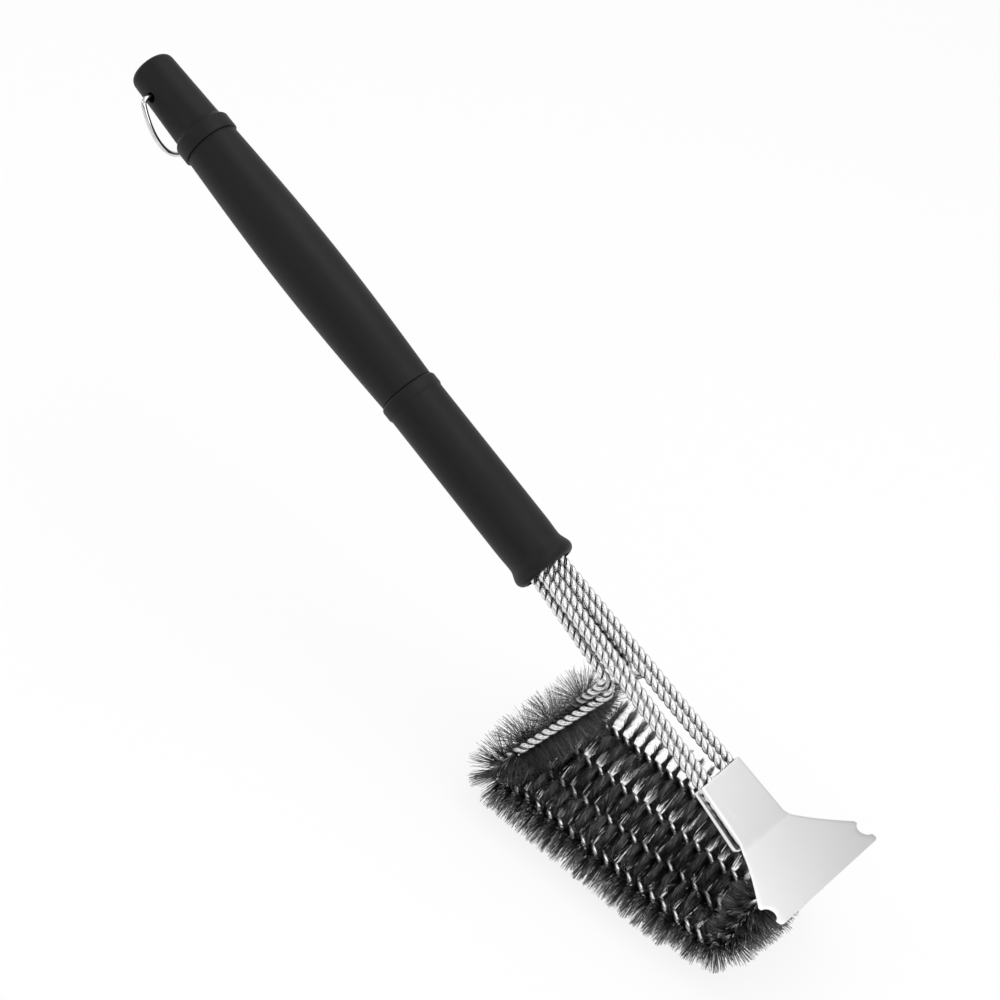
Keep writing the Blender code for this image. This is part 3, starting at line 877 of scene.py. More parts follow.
@dataclass(frozen=True)
class LoopSizes:
    """Sizes of the four wire loops. A group of four holds the loops' own values, from the -Y side.

    On the -Y side the two lower wires cross: the outer row hangs from the inner of them.
    """

    strand_radius: float = 1.1 * MM
    strand_half_width: float = 1.3 * MM
    upper_exit: float = 2.4 * MM
    upper_layer: float = 1.2 * MM
    lower_exit: float = -2.5 * MM
    inside: float = -29.0 * MM
    exit_run: float = 2.0 * MM
    leg_stations: Four = (59.7 * MM, 54.7 * MM, 58.5 * MM, 61.0 * MM)
    leg_layers: Four = (-8.0 * MM, -3.6 * MM, -3.6 * MM, -3.6 * MM)
    nose_station: float = 160.0 * MM
    clamp_station: float = 113.2 * MM
    clamp_end: float = 143.5 * MM
    row_back: float = 52.2 * MM
    row_depth: float = 78.6 * MM
    row_length: float = 127.0 * MM
    exit_bend: float = 40.0 * MM
    leg_bend: float = 5.0 * MM
    nose_bend: float = 10.0 * MM
    upper_exits: Four = (-6.9 * MM, -1.9 * MM, 2.8 * MM, 7.6 * MM)
    lower_exits: Four = (-2.4 * MM, -7.2 * MM, 2.4 * MM, 7.4 * MM)
    legs: Four = (-6.8 * MM, -10.0 * MM, 4.2 * MM, 11.0 * MM)
    clamps: Four = (-10.2 * MM, -5.2 * MM, 6.6 * MM, 12.3 * MM)
    rows: Four = (-28.2 * MM, -9.6 * MM, 9.6 * MM, 33.4 * MM)
    fur_starts: Four = (12.0 * MM, 14.0 * MM, 30.0 * MM, 30.0 * MM)
    leg_trims: Four = (1.0, 1.0, 0.50, 0.35)
    row_trims: Four = (0.93, 1.0, 1.0, 1.0)
    nose_trims: Four = (0.72, 0.84, 0.76, 0.76)
    nose_growths: Four = (0.58, 0.20, 0.20, 0.20)
    # Painted shade on the wires: down the inner legs, on the lower wires under the upper ones and inside the
    # clamp, starting a little before its mouth, blended along the wire.
    leg_shade: Four = (0.0, 0.85, 0.2, 0.0)
    leg_shade_rise: float = 2.5
    lower_shade: Four = (0.65, 0.15, 0.60, 0.60)
    clamp_shade: float = 0.20
    clamp_shadow: float = 1.5 * MM
    shade_blend: float = 4.0 * MM
    step: float = 0.6 * MM
    stem_pitch: float = 8.2 * MM
    leg_pitch: float = 9.0 * MM
    row_pitches: Four = (12.74 * MM, 13.6 * MM, 13.8 * MM, 12.6 * MM)
    row_turns: Four = (0.21, 1.18, 1.45, 1.25)
    row_sweeps: Four = (0.26, 0.26, 0.17, 0.05)
    pitch_blend: float = 8.0 * MM
    strand_sides: int = 12


@dataclass(frozen=True)
class Fur:
    """How a bristled stretch is filled.

    Attributes:
        density: bristles a metre of wire.
        reach: bristle length from the wire's centre.
        inner_reach: the same on the inside of a bend.
        lean: spread of a bristle's tip along the wire.
        tuft: spread of a whole tuft's tips along the wire.
        radius: half the thickness of a bristle at its root.
        sweep: spread of a bristle round the wire, in radians. Each row has its own.
        bare: half the angle round the -Y side that is left bare.
        outer_share: share of the bristles that stand on the outer side of the loop.
        fan: how far the first bristles lean back along the wire.
    """

    density: float
    reach: float
    inner_reach: float
    lean: float
    tuft: float
    radius: float
    sweep: float = 0.0
    bare: float = 0.0
    outer_share: float = 1.0
    fan: float = 0.0


FURS = {
    Zone.LEG: Fur(density=60000.0, reach=15.2 * MM, inner_reach=14.0 * MM, lean=2.4 * MM, tuft=0.3 * MM,
                  radius=0.06 * MM, sweep=0.90, bare=math.radians(62.0), outer_share=0.12, fan=12.0 * MM),
    Zone.ROW: Fur(density=66000.0, reach=15.6 * MM, inner_reach=15.6 * MM, lean=0.50 * MM, tuft=0.20 * MM,
                  radius=0.14 * MM),
    Zone.NOSE: Fur(density=70000.0, reach=16.2 * MM, inner_reach=11.0 * MM, lean=1.0 * MM, tuft=0.5 * MM,
                   radius=0.13 * MM, sweep=0.20),
}


@dataclass(frozen=True)
class Trace:
    """A loop's centre line with its directions and twist at each step.

    Attributes:
        places: the points.
        tangents: the way along the wire.
        outer: the way out of the loop.
        side: the third direction.
        marks: the step at each corner.
        twist: the first strand's angle.
    """

    places: np.ndarray
    tangents: np.ndarray
    outer: np.ndarray
    side: np.ndarray
    marks: list[int]
    twist: np.ndarray

    def value(self, series: np.ndarray, where: np.ndarray) -> np.ndarray:
        """A series read between its steps.

        Args:
            series: one value or row a step.
            where: the steps, with fractions.

        Returns:
            The values there.
        """
        steps = np.arange(len(series))
        if series.ndim == 1:
            return np.interp(where, steps, series)
        return np.stack([np.interp(where, steps, column) for column in series.T], axis=1)

    def direction(self, angles: np.ndarray, where: np.ndarray | None = None) -> np.ndarray:
        """Directions square to the wire at given angles from its outer side.

        Args:
            angles: the angles.
            where: the steps, or None for every step.

        Returns:
            One direction a row.
        """
        outer = self.outer if where is None else self.value(self.outer, where)
        side = self.side if where is None else self.value(self.side, where)
        return np.cos(angles)[:, None] * outer + np.sin(angles)[:, None] * side


@dataclass
class WireLoop:
    """One loop of twisted wire from the handle round the head and back, with its bristles.

    Attributes:
        loop: its number, 0 to 3 from the -Y side.
        sizes: the sizes that all loops share.
        root: how far from the wire's centre a bristle starts.
        tip_taper: how thick a bristle's tip is for its root.
        outer_half: half the angle that counts as the outer side.
        outer_painted_paleness: least paleness of the leg's thin outer bristles.
        burst: how far bristles spread round the heel, in radians.
        burst_run: how soon that settles along the row.
        fan_run: how soon the lean of the first bristles settles.
        heel_run: how far up the leg the row's full bristles start.
        nose_run: how far behind the front corner the nose's bristles start.
        nose_share: how far up the nose its bristles go.
        longest: length of the longest bristles for their reach.
        uneven: how much shorter the shortest ones are.
        uneven_power: how rare short ones are.
        shade_power: how rare pale bristles are.
        upright: rise of a bristle past which it is squared against X in place of Z.
        turn_count: how many bristles are turned in a row before a turn comes again.
        seed_stride: how far the seeds of two loops lie apart.
    """

    loop: int
    sizes: LoopSizes = LoopSizes()
    root: float = 0.8 * MM
    tip_taper: float = 0.6
    outer_half: float = math.radians(80.0)
    # Painted light: the leg's thin outer bristles are painted paler, standing for the light that shows
    # through the thin fuzz.
    outer_painted_paleness: float = 0.40
    burst: float = 0.35
    burst_run: float = 6.0 * MM
    fan_run: float = 5.0 * MM
    heel_run: float = 14.0 * MM
    nose_run: float = 17.0 * MM
    nose_share: float = 0.72
    longest: float = 1.03
    uneven: float = 0.30
    uneven_power: float = 1.6
    shade_power: float = 9.0
    upright: float = 0.9
    turn_count: int = 7
    seed_stride: int = 100

    def upper_at(self, station: float) -> Vector:
        """Centre of the upper stem at a station along the handle line.

        Args:
            station: distance in front of the lip.

        Returns:
            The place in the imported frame.
        """
        s = self.sizes
        share = (station - s.exit_run) / (s.clamp_station - s.exit_run)
        across = s.upper_exits[self.loop] + (s.clamps[self.loop] - s.upper_exits[self.loop]) * share
        return LINE.at(station, across, s.upper_exit + (s.upper_layer - s.upper_exit) * share)

    def corners(self) -> list[tuple[Vector, float]]:
        """Corner points of the wire's centre line, each with the radius that it is bent to.

        Returns:
            The corners from the lower wire end round the loop to the upper one.
        """
        s = self.sizes
        low_y = s.lower_exits[self.loop]
        high_y = s.upper_exits[self.loop]
        heel = LINE.at(s.row_back, s.rows[self.loop], -s.row_depth)
        return [
            (LINE.at(s.inside, low_y, s.lower_exit), 0.0),
            (LINE.at(s.exit_run, low_y, s.lower_exit), s.exit_bend),
            (LINE.at(s.leg_stations[self.loop], s.legs[self.loop], s.leg_layers[self.loop]), s.leg_bend),
            (heel, s.leg_bend),
            (heel + Vector((s.row_length, 0.0, 0.0)), s.nose_bend),
            (self.upper_at(s.nose_station), s.nose_bend),
            (self.upper_at(s.exit_run), s.exit_bend),
            (LINE.at(s.inside, high_y, s.upper_exit), 0.0),
        ]

    def route(self) -> np.ndarray:
        """The centre line with rounded corners, in even steps.

        Returns:
            One point a row.
        """
        corners = self.corners()
        path = [corners[0][0]]
        for (before, _), (corner, radius), (after, _) in zip(corners, corners[1:], corners[2:]):
            into = (corner - before).normalized()
            out = (after - corner).normalized()
            turn = into.angle(out)
            centre = corner + (out - into).normalized() * radius / math.cos(turn / 2)
            first = corner - into * radius * math.tan(turn / 2) - centre
            axis = into.cross(out).normalized()
            count = max(2, round(radius * turn / self.sizes.step) + 1)
            for index in range(count + 1):
                path.append(centre + Matrix.Rotation(turn * index / count, 3, axis) @ first)
        path.append(corners[-1][0])
        places = np.array(path)
        lengths = np.concatenate([[0.0], np.cumsum(np.linalg.norm(np.diff(places, axis=0), axis=1))])
        even = np.linspace(0.0, lengths[-1], round(lengths[-1] / self.sizes.step) + 1)
        return np.stack([np.interp(even, lengths, column) for column in places.T], axis=1)

    def trace(self) -> Trace:
        """Work out the centre line, its side directions and its twist.

        Returns:
            The loop's trace.
        """
        places = self.route()
        tangents = unit(np.gradient(places, axis=0))
        outer = unit(np.cross(np.array([0.0, 1.0, 0.0]), tangents))
        marks = [int(np.argmin(np.linalg.norm(places - np.array(corner), axis=1)))
                 for corner, _ in self.corners()]
        twist = self.twist(len(places), marks)
        return Trace(places, tangents, outer, np.cross(tangents, outer), marks, twist)

    def twist(self, count: int, marks: list[int]) -> np.ndarray:
        """Angle of the first strand round the centre line at each step: a right-hand lay.

        Args:
            count: number of steps.
            marks: the step at each corner.

        Returns:
            The angles.
        """
        s = self.sizes
        steps = np.arange(count)
        width = s.pitch_blend / s.step

        def within(first: Corner, last: Corner) -> np.ndarray:
            """Share of a stretch's own lay, blended in from both its corners."""
            into = np.clip((steps - marks[first]) / width, 0.0, 1.0)
            return into * np.clip((marks[last] - steps) / width, 0.0, 1.0)

        rows = within(Corner.HEEL, Corner.NOSE_TOP)
        pitch = s.stem_pitch + (s.row_pitches[self.loop] - s.stem_pitch) * rows
        pitch += (s.leg_pitch - s.stem_pitch) * within(Corner.LEG_TOP, Corner.HEEL)
        turns = np.cumsum(math.tau * s.step / pitch)
        return turns - turns[marks[Corner.HEEL]] + s.row_turns[self.loop]

    def build(self) -> None:
        """Make the two strands and the bristles of the leg, the row and the nose."""
        trace = self.trace()
        number = self.loop + 1
        stems = [f"upper_stem_{number}", f"lower_stem_{self.lower_number()}"]
        for label, turn in (("a", 0.0), ("b", math.pi)):
            strand = self.strand(f"loop_{number}_strand_{label}", trace, turn)
            hand_over(strand, DrawnWire(), stems)
        for zone in Zone:
            tufts = self.bristles(zone, trace)
            hand_over(tufts, DarkBristle(), [f"bristle_{zone.value}_{number}"])

    def lower_number(self) -> int:
        """Number of the lower stem, counted across the brush at the handle."""
        order = sorted(range(LOOPS), key=lambda loop: self.sizes.lower_exits[loop])
        return order.index(self.loop) + 1

    def sheltered(self, trace: Trace) -> np.ndarray:
        """How much painted shade the wire gets at each step, where it lies under other wires, down the inner
        legs and inside the clamp.

        Args:
            trace: the loop's centre line.

        Returns:
            A share from 0 to 1 for each step.
        """
        s = self.sizes
        steps = np.arange(len(trace.places))
        leg_top, heel = trace.marks[Corner.LEG_TOP], trace.marks[Corner.HEEL]
        stations = LINE.measured(trace.places)[:, 0]
        mouth = s.clamp_station - s.clamp_shadow
        held = (steps > trace.marks[Corner.NOSE_TOP]) & (stations > mouth) & (stations < s.clamp_end)
        shade = np.where(held, s.clamp_shade, 0.0)
        down = np.clip((steps - leg_top) / (heel - leg_top), 0.0, 1.0)
        leg_shade = s.leg_shade[self.loop] * np.minimum(1.0, s.leg_shade_rise * down)
        shade = np.where(steps < heel, leg_shade, shade)
        shade = np.where(steps < leg_top - s.shade_blend / s.step, s.lower_shade[self.loop], shade)
        width = round(s.shade_blend / s.step)
        padded = np.pad(shade, width, mode="edge")
        return np.convolve(padded, np.ones(width) / width, mode="same")[width:-width]

    def strand(self, name: str, trace: Trace, turn: float) -> bpy.types.Object:
        """One strand of the twisted pair as a tube, pressed a little flat against the other strand.

        Args:
            name: the piece's name.
            trace: the loop's centre line.
            turn: the strand's angle from the first strand.

        Returns:
            The strand, with painted shade on each point for how deep it lies in the groove and how far out of
            the light.
        """
        s = self.sizes
        away = trace.direction(trace.twist + turn)
        centres = trace.places + away * s.strand_radius
        along = unit(np.gradient(centres, axis=0))
        beside = unit(np.cross(along, away))
        out = np.cross(beside, along)
        sides = s.strand_sides
        angles = math.tau * np.arange(sides) / sides
        rings = (centres[:, None, :]
                 + s.strand_radius * np.cos(angles)[None, :, None] * out[:, None, :]
                 + s.strand_half_width * np.sin(angles)[None, :, None] * beside[:, None, :])
        last = (len(centres) - 1) * sides
        faces = [tuple(reversed(range(sides)))]
        for low in range(0, last, sides):
            for side in range(sides):
                after = (side + 1) % sides
                faces.append((low + side, low + after, low + sides + after, low + sides + side))
        faces.append(tuple(range(last, last + sides)))
        # Painted shade: points that face the other strand, and stretches out of the light, get a darker
        # colour.
        lit = np.outer(1.0 - self.sheltered(trace), (1.0 + np.cos(angles)) / 2)
        return mesh_piece(name, rings.reshape(-1, 3), faces, groove=1.0 - lit.ravel())

    def span(self, zone: Zone, trace: Trace) -> tuple[float, float]:
        """First and last step of a bristled stretch.

        Args:
            zone: the stretch.
            trace: the loop's centre line.

        Returns:
            The two steps.
        """
        step = self.sizes.step
        leg_top, heel, row_front, nose_top = (trace.marks[corner] for corner in Corner)
        row_start = heel - self.heel_run / step
        row_end = row_front - self.nose_run / step
        return {
            Zone.LEG: (leg_top + self.sizes.fur_starts[self.loop] / step, row_start),
            Zone.ROW: (row_start, row_end),
            Zone.NOSE: (row_end, row_front + (nose_top - row_front) * self.nose_share),
        }[zone]

    def row_fill(self, where: np.ndarray, first: float, heel: int) -> tuple[np.ndarray, np.ndarray]:
        """How a row's bristles burst out round the heel, and thin out up the leg.

        Args:
            where: the step that each bristle stands at.
            first: the row's first step.
            heel: the step of the heel.

        Returns:
            The spread round the wire, and the share that stands on the outer side.
        """
        from_heel = np.maximum(0.0, where - heel) * self.sizes.step
        sweep = self.sizes.row_sweeps[self.loop] + self.burst * np.exp(-from_heel / self.burst_run)
        thin = FURS[Zone.LEG].outer_share
        full = np.clip((where - first) / (heel - first), 0.0, 1.0) ** 2
        return sweep, thin + (1.0 - thin) * full

    def bristles(self, zone: Zone, trace: Trace) -> bpy.types.Object:
        """The bristles of one stretch, in the two spiral sheets that the twisted strands hold.

        Args:
            zone: the stretch.
            trace: the loop's centre line.

        Returns:
            The bristles as one piece.
        """
        s, fur = self.sizes, FURS[zone]
        rng = np.random.default_rng(self.seed_stride * self.loop + list(Zone).index(zone))
        first, last = self.span(zone, trace)
        count = int((last - first) * s.step * fur.density)
        where = np.sort(rng.uniform(first, last, count))
        sheet = trace.value(trace.twist, where) + QUARTER + math.pi * rng.integers(0, 2, count)
        sweep, outer_share = fur.sweep, fur.outer_share
        if zone is Zone.ROW:
            sweep, outer_share = self.row_fill(where, first, trace.marks[Corner.HEEL])
        across = sheet + rng.normal(0.0, 1.0, count) * sweep
        from_outer = np.abs((across + math.pi) % math.tau - math.pi)
        from_bare = np.abs((across + 3 * QUARTER) % math.tau - math.pi)
        keep = (from_bare > fur.bare) & ((from_outer > self.outer_half) | (rng.random(count) < outer_share))
        where, sheet, across, from_outer = (series[keep] for series in (where, sheet, across, from_outer))
        inward = np.clip((from_outer - QUARTER) / QUARTER, 0.0, 1.0)
        trims = {Zone.LEG: s.leg_trims, Zone.ROW: s.row_trims, Zone.NOSE: s.nose_trims}
        trim = trims[zone][self.loop]
        if zone is Zone.NOSE:
            trim *= 1.0 + s.nose_growths[self.loop] * ((where - first) / (last - first)) ** 2
        reach = (fur.reach + (fur.inner_reach - fur.reach) * inward) * trim
        reach *= self.longest - self.uneven * rng.random(len(where)) ** self.uneven_power
        tufts = rng.normal(0.0, fur.tuft, int(last) + 2)[where.astype(int)]
        lean = tufts + rng.normal(0.0, fur.lean, len(where))
        lean -= fur.fan * np.exp((first - where) * s.step / self.fan_run)
        centres = trace.value(trace.places, where)
        roots = centres + trace.direction(sheet, where) * self.root
        tips = centres + trace.direction(across, where) * reach[:, None]
        tips += trace.value(trace.tangents, where) * lean[:, None]
        shade = rng.random(len(where)) ** self.shade_power
        # Painted light: the leg's outer bristles get at least this paleness, for the light that shows through
        # the fuzz.
        if zone is Zone.LEG:
            shade = np.where(from_outer < self.outer_half, np.maximum(shade, self.outer_painted_paleness), shade)
        name = f"{zone.value}_bristles_{self.loop + 1}"
        return self.prisms(name, roots, trimmed(roots, tips), fur.radius, shade)

    def prisms(self, name: str, roots: np.ndarray, tips: np.ndarray, radius: float,
               shade: np.ndarray) -> bpy.types.Object:
        """Three-sided tapered wires from roots to tips, all in one piece.

        Args:
            name: the piece's name.
            roots: one root a row.
            tips: one tip a row.
            radius: half the thickness at the root.
            shade: how pale each bristle is.

        Returns:
            The bristles.
        """
        count = len(roots)
        along = unit(tips - roots)
        lying = np.abs(along[:, 2:3]) < self.upright
        helper = np.where(lying, np.array([[0.0, 0.0, 1.0]]), np.array([[1.0, 0.0, 0.0]]))
        first = unit(np.cross(helper, along))
        second = np.cross(along, first)
        points = np.empty((count, 6, 3))
        for corner in range(3):
            angle = math.tau * (np.arange(count)[:, None] / self.turn_count + corner / 3)
            offset = (np.cos(angle) * first + np.sin(angle) * second) * radius
            points[:, corner] = roots + offset
            points[:, corner + 3] = tips + offset * self.tip_taper
        pattern = ((0, 1, 4, 3), (1, 2, 5, 4), (2, 0, 3, 5), (0, 2, 1), (3, 4, 5))
        faces = [tuple(6 * index + corner for corner in face) for index in range(count) for face in pattern]
        reach = np.tile(np.repeat([0.0, 1.0], 3), count)
        return mesh_piece(name, points.reshape(-1, 3), faces, shade=np.repeat(shade, 6), reach=reach)


def trimmed(roots: np.ndarray, tips: np.ndarray, least: float = 0.2) -> np.ndarray:
    """Bristle tips cut level with the ground and short of the scraper's underside.

    Args:
        roots: one root a row.
        tips: one tip a row.
        least: share of its length that every bristle keeps.

    Returns:
        The shortened tips.
    """
    share = np.ones(len(tips))
    low = tips[:, 2] < 0.0
    share[low] = roots[low, 2] / (roots[low, 2] - tips[low, 2])
    stations, _, heights = LINE.measured(tips).T
    root_heights = LINE.measured(roots)[:, 2]
    ceiling = Scraper().underside(stations)
    high = (heights > ceiling) & (root_heights < ceiling)
    room = (ceiling - root_heights)[high] / (heights - root_heights)[high]
    share[high] = np.minimum(share[high], room)
    return roots + (tips - roots) * np.maximum(share, least)[:, None]


@dataclass
class Scraper:
    """One bent sheet: a clamp folded round the upper stems and a flared blade bent up at its front.

    Attributes:
        sheet: thickness of the sheet.
        top: height of the clamp's upper face above the handle line.
        deep: height of the clamp's lower face.
        short: how much narrower the upper plate is on its open side, at the back.
        lift: how far the lower plate's lip stands above the rest of it.
        lip: width of that lip.
        lip_wall: width of the wall that carries it.
        hem: height of the lip's edge, which is turned down.
        slant: how far back the lower plate's front lies at its open side.
        lip_in: how much narrower the lower plate is at the back than at the front.
        lip_out: how far the lower plate stands out beyond the clamp's width at the front.
        roll_radius: radius of the rolled upper edge along the slit.
        roll_fade: how far behind the bend that roll starts to fade.
        roll_least: share of the roll that is left on the blade.
        flare_ahead: how far behind the bend the blade starts to widen.
        bend_skew: how much sooner the sheet bends up on the open side.
        clear: height that stands for no sheet at all.
    """

    sheet: float = 0.45 * MM
    top: float = 4.2 * MM
    deep: float = -2.1 * MM
    station: float = 113.2 * MM
    length: float = 31.5 * MM
    back_half_width: float = 14.8 * MM
    front_half_width: float = 15.9 * MM
    short: float = 1.9 * MM
    lip_in: float = 2.3 * MM
    lift: float = 2.6 * MM
    lip: float = 1.0 * MM
    lip_wall: float = 0.5 * MM
    hem: float = 1.0 * MM
    slant: float = 2.2 * MM
    lip_out: float = 0.8 * MM
    roll_radius: float = 1.1 * MM
    roll_fade: float = 6.0 * MM
    roll_least: float = 0.1
    bend_angle: float = math.radians(23.0)
    bend_radius: float = 3.0 * MM
    blade_length: float = 32.5 * MM
    blade_half_width: float = 36.2 * MM
    blade_skew: float = 2.4 * MM
    shoulder_from_edge: float = 11.5 * MM
    flare_ahead: float = 2.6 * MM
    flare_power: float = 1.25
    bend_skew: float = 1.4 * MM
    notch_radius: float = 3.6 * MM
    notch_from_edge: float = 6.5 * MM
    notch_setout: float = 0.4 * MM
    tip_rounding: float = 1.6 * MM
    curl_length: float = 2.0 * MM
    curl_rise: float = 3.2 * MM
    edge_rounding: float = 0.14 * MM
    edge_angle: float = math.radians(50.0)
    edge_segments: int = 2
    fold_share: float = 0.22
    clear: float = 1.0
    clamp_steps: int = 24
    blade_steps: int = 96
    across_steps: int = 28
    roll_steps: int = 5
    fold_steps: int = 14

    def clamp_half_width(self, station: float) -> float:
        """Half width of the clamp at a station along the handle line."""
        share = (station - self.station) / self.length
        return self.back_half_width + (self.front_half_width - self.back_half_width) * share

    def underside(self, stations: np.ndarray) -> np.ndarray:
        """Height of the sheet's lower face over each station, or far above where there is none.

        Args:
            stations: places along the handle line.

        Returns:
            The heights above the handle line.
        """
        fold = self.station + self.length
        blade = self.top - self.sheet + (stations - fold) * math.tan(self.bend_angle)
        heights = np.where(stations < fold, self.deep, blade)
        heights = np.where(stations < self.station, self.clear, heights)
        return np.where(stations > fold + self.blade_length, self.clear, heights - self.sheet / 2)

    def half_width_at(self, along: float) -> float:
        """Half width of the sheet at a distance in front of the bend, or behind it if negative.

        Args:
            along: distance from the bend.

        Returns:
            The half width, with the round notch and the rounded tip.
        """
        if along < -self.flare_ahead:
            return self.clamp_half_width(self.station + self.length + along)
        start = self.clamp_half_width(self.station + self.length - self.flare_ahead)
        shoulder = self.blade_length - self.shoulder_from_edge
        share = min(1.0, (along + self.flare_ahead) / (shoulder + self.flare_ahead))
        wide = start + (self.blade_half_width - start) * share ** self.flare_power
        notch = along - (self.blade_length - self.notch_from_edge)
        if abs(notch) < self.notch_radius:
            bite = math.sqrt(self.notch_radius ** 2 - notch ** 2)
            wide = min(wide, self.blade_half_width + self.notch_setout - bite)
        corner = along - (self.blade_length - self.tip_rounding)
        if corner > 0.0:
            wide -= self.tip_rounding - math.sqrt(max(0.0, self.tip_rounding ** 2 - corner ** 2))
        return wide

    def lifted(self, along: float, early: float) -> tuple[float, float]:
        """Where the upper face lies at a distance along the sheet from the clamp's back.

        Args:
            along: distance along the sheet.
            early: how much sooner the sheet bends up there.

        Returns:
            The place along the handle line and the height above it.
        """
        sweep = self.bend_radius * self.bend_angle
        start = self.length - early
        turn = min(self.bend_angle, max(0.0, (along - start) / self.bend_radius))
        flat = min(along, start) + self.bend_radius * math.sin(turn)
        rise = self.bend_radius * (1.0 - math.cos(turn))
        beyond = max(0.0, along - start - sweep)
        return (self.station + flat + beyond * math.cos(self.bend_angle),
                self.top + rise + beyond * math.sin(self.bend_angle))

    def plate(self) -> bpy.types.Object:
        """The clamp's top plate and the blade as one bent grid.

        Returns:
            The grid, on the handle line's own axes.
        """
        rows = self.clamp_steps + self.blade_steps
        stations = [self.length * step / self.clamp_steps for step in range(self.clamp_steps)]
        stations += [self.length + self.blade_length * step / self.blade_steps
                     for step in range(self.blade_steps + 1)]
        deselect()
        bpy.ops.mesh.primitive_grid_add(x_subdivisions=rows, y_subdivisions=self.across_steps, size=2.0)
        piece = bpy.context.object
        piece.name = "scraper_sheet"
        for vertex in piece.data.vertices:
            along = stations[round((vertex.co.x + 1.0) / 2.0 * rows)]
            front = max(0.0, along - self.length) / self.blade_length
            wide = self.half_width_at(along - self.length)
            near = self.half_width_at(along - self.length + self.bend_skew * (1.0 - front))
            near -= self.short * max(0.0, 1.0 - along / self.length)
            column = round((vertex.co.y + 1.0) / 2.0 * self.across_steps)
            share = max(0, column - self.roll_steps) / (self.across_steps - self.roll_steps)
            rolled = QUARTER * max(0, self.roll_steps - column) / self.roll_steps
            roll = self.roll_radius * min(1.0, max(self.roll_least, (self.length - along) / self.roll_fade))
            place, height = self.lifted(along + self.blade_skew * (share - 0.5) * front,
                                        self.bend_skew * (1.0 - share))
            edge = -near + roll * (1.0 - math.sin(rolled))
            vertex.co = (place, edge + (wide - edge) * share, height - roll * (1.0 - math.cos(rolled)))
        return piece

    def folded(self) -> bpy.types.Object:
        """The fold on the +Y side and the bottom plate, with its front curled up to close the slit.

        Returns:
            The grid, on the handle line's own axes.
        """
        steps = self.fold_steps + self.across_steps
        deselect()
        bpy.ops.mesh.primitive_grid_add(x_subdivisions=self.clamp_steps, y_subdivisions=steps, size=2.0)
        piece = bpy.context.object
        radius = (self.top - self.deep) / 2
        for vertex in piece.data.vertices:
            along = self.length * (vertex.co.x + 1.0) / 2.0
            step = round((1.0 - vertex.co.y) / 2.0 * steps)
            wide = self.clamp_half_width(self.station + along)
            if step <= self.fold_steps:
                angle = math.pi * step / self.fold_steps
                flared = (self.half_width_at(along - self.length) - wide) * (1.0 + math.cos(angle)) / 2
                across = wide + flared + radius * self.fold_share * math.sin(angle)
                height = (self.top + self.deep) / 2 + radius * math.cos(angle)
            else:
                edge = self.lip_in * (1.0 - along / self.length) - self.lip_out - wide
                foot = edge + self.lip + self.lip_wall
                rim = [(edge, self.lift - self.hem), (edge, self.lift), (edge + self.lip, self.lift)]
                share = (step - self.fold_steps) / (self.across_steps - len(rim))
                across, height = rim[steps - step] if share > 1.0 else (wide + (foot - wide) * share, 0.0)
                front = max(0.0, (along - (self.length - self.curl_length)) / self.curl_length)
                height += self.deep + self.curl_rise * front ** 2
                along -= self.slant * min(1.0, share) ** 2 * (along / self.length) ** 2
            vertex.co = (self.station + along, across, height)
        return piece

    def build(self) -> None:
        """Join the two grids, give the sheet its thickness and round its edges."""
        plate = self.plate()
        under = self.folded()
        make_active(plate)
        under.select_set(True)
        bpy.ops.object.join()
        bpy.ops.object.mode_set(mode="EDIT")
        weld(SEAM_WELD)
        if max(plate.data.polygons, key=lambda face: face.center.x).normal.z < 0.0:
            plate.data.flip_normals()
        wall = plate.modifiers.new("sheet", "SOLIDIFY")
        wall.thickness = self.sheet
        wall.offset = -1.0
        edges = plate.modifiers.new("edges", "BEVEL")
        edges.width = self.edge_rounding
        edges.segments = self.edge_segments
        edges.limit_method = "ANGLE"
        edges.angle_limit = self.edge_angle
        apply_modifiers(plate)
        place_in_mesh(plate, LINE.matrix())
        hand_over(plate, RolledSheet(), ["scraper"])


@dataclass(frozen=True)
class Lamp:
    """A soft rectangular lamp: its place, its width and height, and its power in watts."""

    name: str
    place: Triple
    size: tuple[float, float]
    power: float

    def hang(self, aim: Triple) -> None:
        """Hang the lamp and turn it to a point.

        Args:
            aim: the point that it shines at.
        """
        light = bpy.data.lights.new(self.name, "AREA")
        light.shape = "RECTANGLE"
        light.size, light.size_y = self.size
        light.energy = self.power
        holder = put_in_scene(self.name, light)
        holder.location = self.place
        holder.rotation_euler = (Vector(aim) - Vector(self.place)).to_track_quat("-Z", "Y").to_euler()


LAMPS = (
    Lamp("overhead", (0.15, 0.25, 1.5), (1.4, 1.0), 7.0),
    Lamp("right_bank", (1.3, -0.1, 0.8), (0.9, 0.7), 4.0),
    Lamp("left_bank", (-0.9, -1.1, 0.9), (0.9, 0.7), 3.0),
    Lamp("front_bank", (0.45, -0.90, 0.95), (0.5, 0.5), 1.4),
)


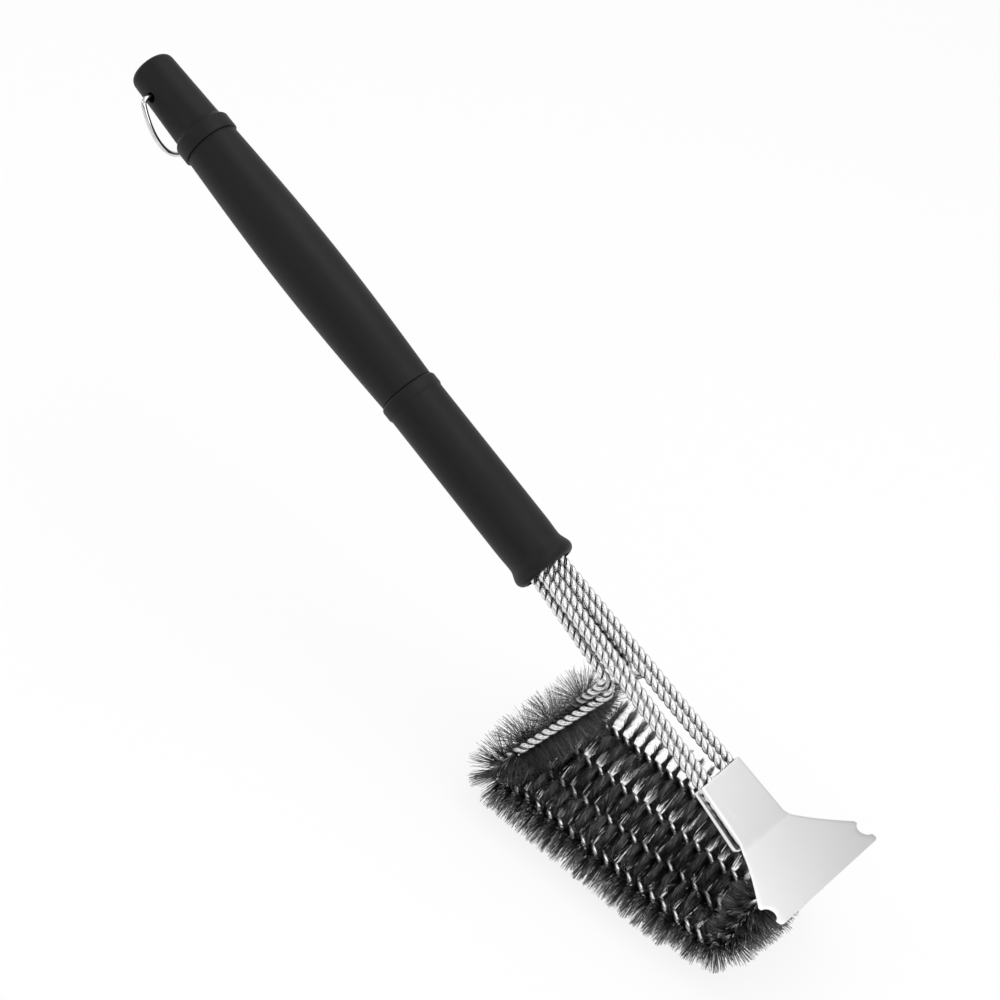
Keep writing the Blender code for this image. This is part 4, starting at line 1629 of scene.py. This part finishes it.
@dataclass
class Studio:
    """Floor, light and camera.

    Attributes:
        eye: the camera's place on the handle line's own axes.
        aim: the point that it looks at, on the same axes.
        roll: how far it leans to the left.
        lens: focal length for the given sensor.
        sight: how far it sees.
        lamp_aim: the point that the lamps shine at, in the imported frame.
        floor_drop: how far the floor lies below the bristle tips.
    """

    eye: Triple = (68.8 * MM, -598.2 * MM, 649.3 * MM)
    aim: Triple = (-33.3 * MM, -1.6 * MM, 5.0 * MM)
    roll: float = math.radians(17.095)
    lens: float = 75.19
    sensor: float = 36.0
    sight: float = 50.0
    lamp_aim: Triple = (0.05, 0.0, 0.08)
    floor_size: float = 8.0
    floor_drop: float = 0.2 * MM
    floor_white: float = 0.90
    floor_glow: float = 0.84
    world_low: float = 0.30
    world_high: float = 1.04
    bright_side: Triple = (0.0, 0.64, 0.77)

    def build(self) -> None:
        """Set the view transform and make the floor, the world, the lamps and the camera."""
        bpy.context.scene.view_settings.view_transform = "Standard"
        self.floor()
        self.world()
        for lamp in LAMPS:
            lamp.hang(self.lamp_aim)
        self.camera()

    def floor(self) -> None:
        """Plain pale floor that keeps a soft shadow, and reads as white directly or in metal."""
        deselect()
        bpy.ops.mesh.primitive_plane_add(size=self.floor_size, location=(0.0, 0.0, -self.floor_drop))
        ground = bpy.context.object
        ground.name = "floor"
        made = bpy.data.materials.new("pale_floor")
        made.use_nodes = True
        made.node_tree.nodes.clear()
        graph = Graph(made.node_tree)
        path = graph.add("LightPath").outputs
        seen = graph.work("ADD", path["Is Camera Ray"], path["Is Glossy Ray"], clamp=True)
        seen = graph.work("ADD", seen, path["Is Transmission Ray"], clamp=True)
        share = graph.work("MULTIPLY", seen, self.floor_glow)
        matt = graph.add("BsdfDiffuse", {"Color": (self.floor_white,) * 3 + (1.0,)}).outputs["BSDF"]
        glow = graph.add("Emission").outputs["Emission"]
        both = graph.add("MixShader", {"Fac": share, 1: matt, 2: glow}).outputs["Shader"]
        graph.add("OutputMaterial", {"Surface": both})
        ground.data.materials.append(made)

    def world(self) -> None:
        """White to the camera, and a soft grey dome, brighter behind and overhead, to everything else."""
        world = bpy.data.worlds.new("soft_dome")
        bpy.context.scene.world = world
        world.use_nodes = True
        world.node_tree.nodes.clear()
        graph = Graph(world.node_tree)
        facing = graph.reach(graph.add("TexCoord").outputs["Generated"], self.bright_side)
        level = graph.spread(facing, self.world_low, self.world_high, -1.0)
        dome = graph.add("Background", {"Strength": level}).outputs["Background"]
        white = graph.add("Background", {"Color": (1.0, 1.0, 1.0, 1.0)}).outputs["Background"]
        straight = graph.add("LightPath").outputs["Is Camera Ray"]
        both = graph.add("MixShader", {"Fac": straight, 1: dome, 2: white}).outputs["Shader"]
        graph.add("OutputWorld", {"Surface": both})

    def camera(self) -> None:
        """Camera at the photograph's angle, found from the handle's ends, the blade and the rows."""
        eye = LINE.at(*self.eye)
        gaze = LINE.at(*self.aim) - eye
        lens = bpy.data.cameras.new("camera")
        lens.lens = self.lens
        lens.sensor_width = self.sensor
        lens.clip_end = self.sight
        holder = put_in_scene("camera", lens)
        turn = gaze.to_track_quat("-Z", "Y").to_matrix() @ Matrix.Rotation(self.roll, 3, "Z")
        holder.matrix_world = Matrix.Translation(eye) @ turn.to_4x4()
        bpy.context.scene.camera = holder


def main() -> None:
    """Build every sub-assembly in order."""
    logging.basicConfig(level=logging.INFO, format="%(name)s %(message)s")
    Handle().build()
    HangRing().build()
    for loop in range(LOOPS):
        WireLoop(loop).build()
    Scraper().build()
    Studio().build()


if __name__ == "__main__":
    main()
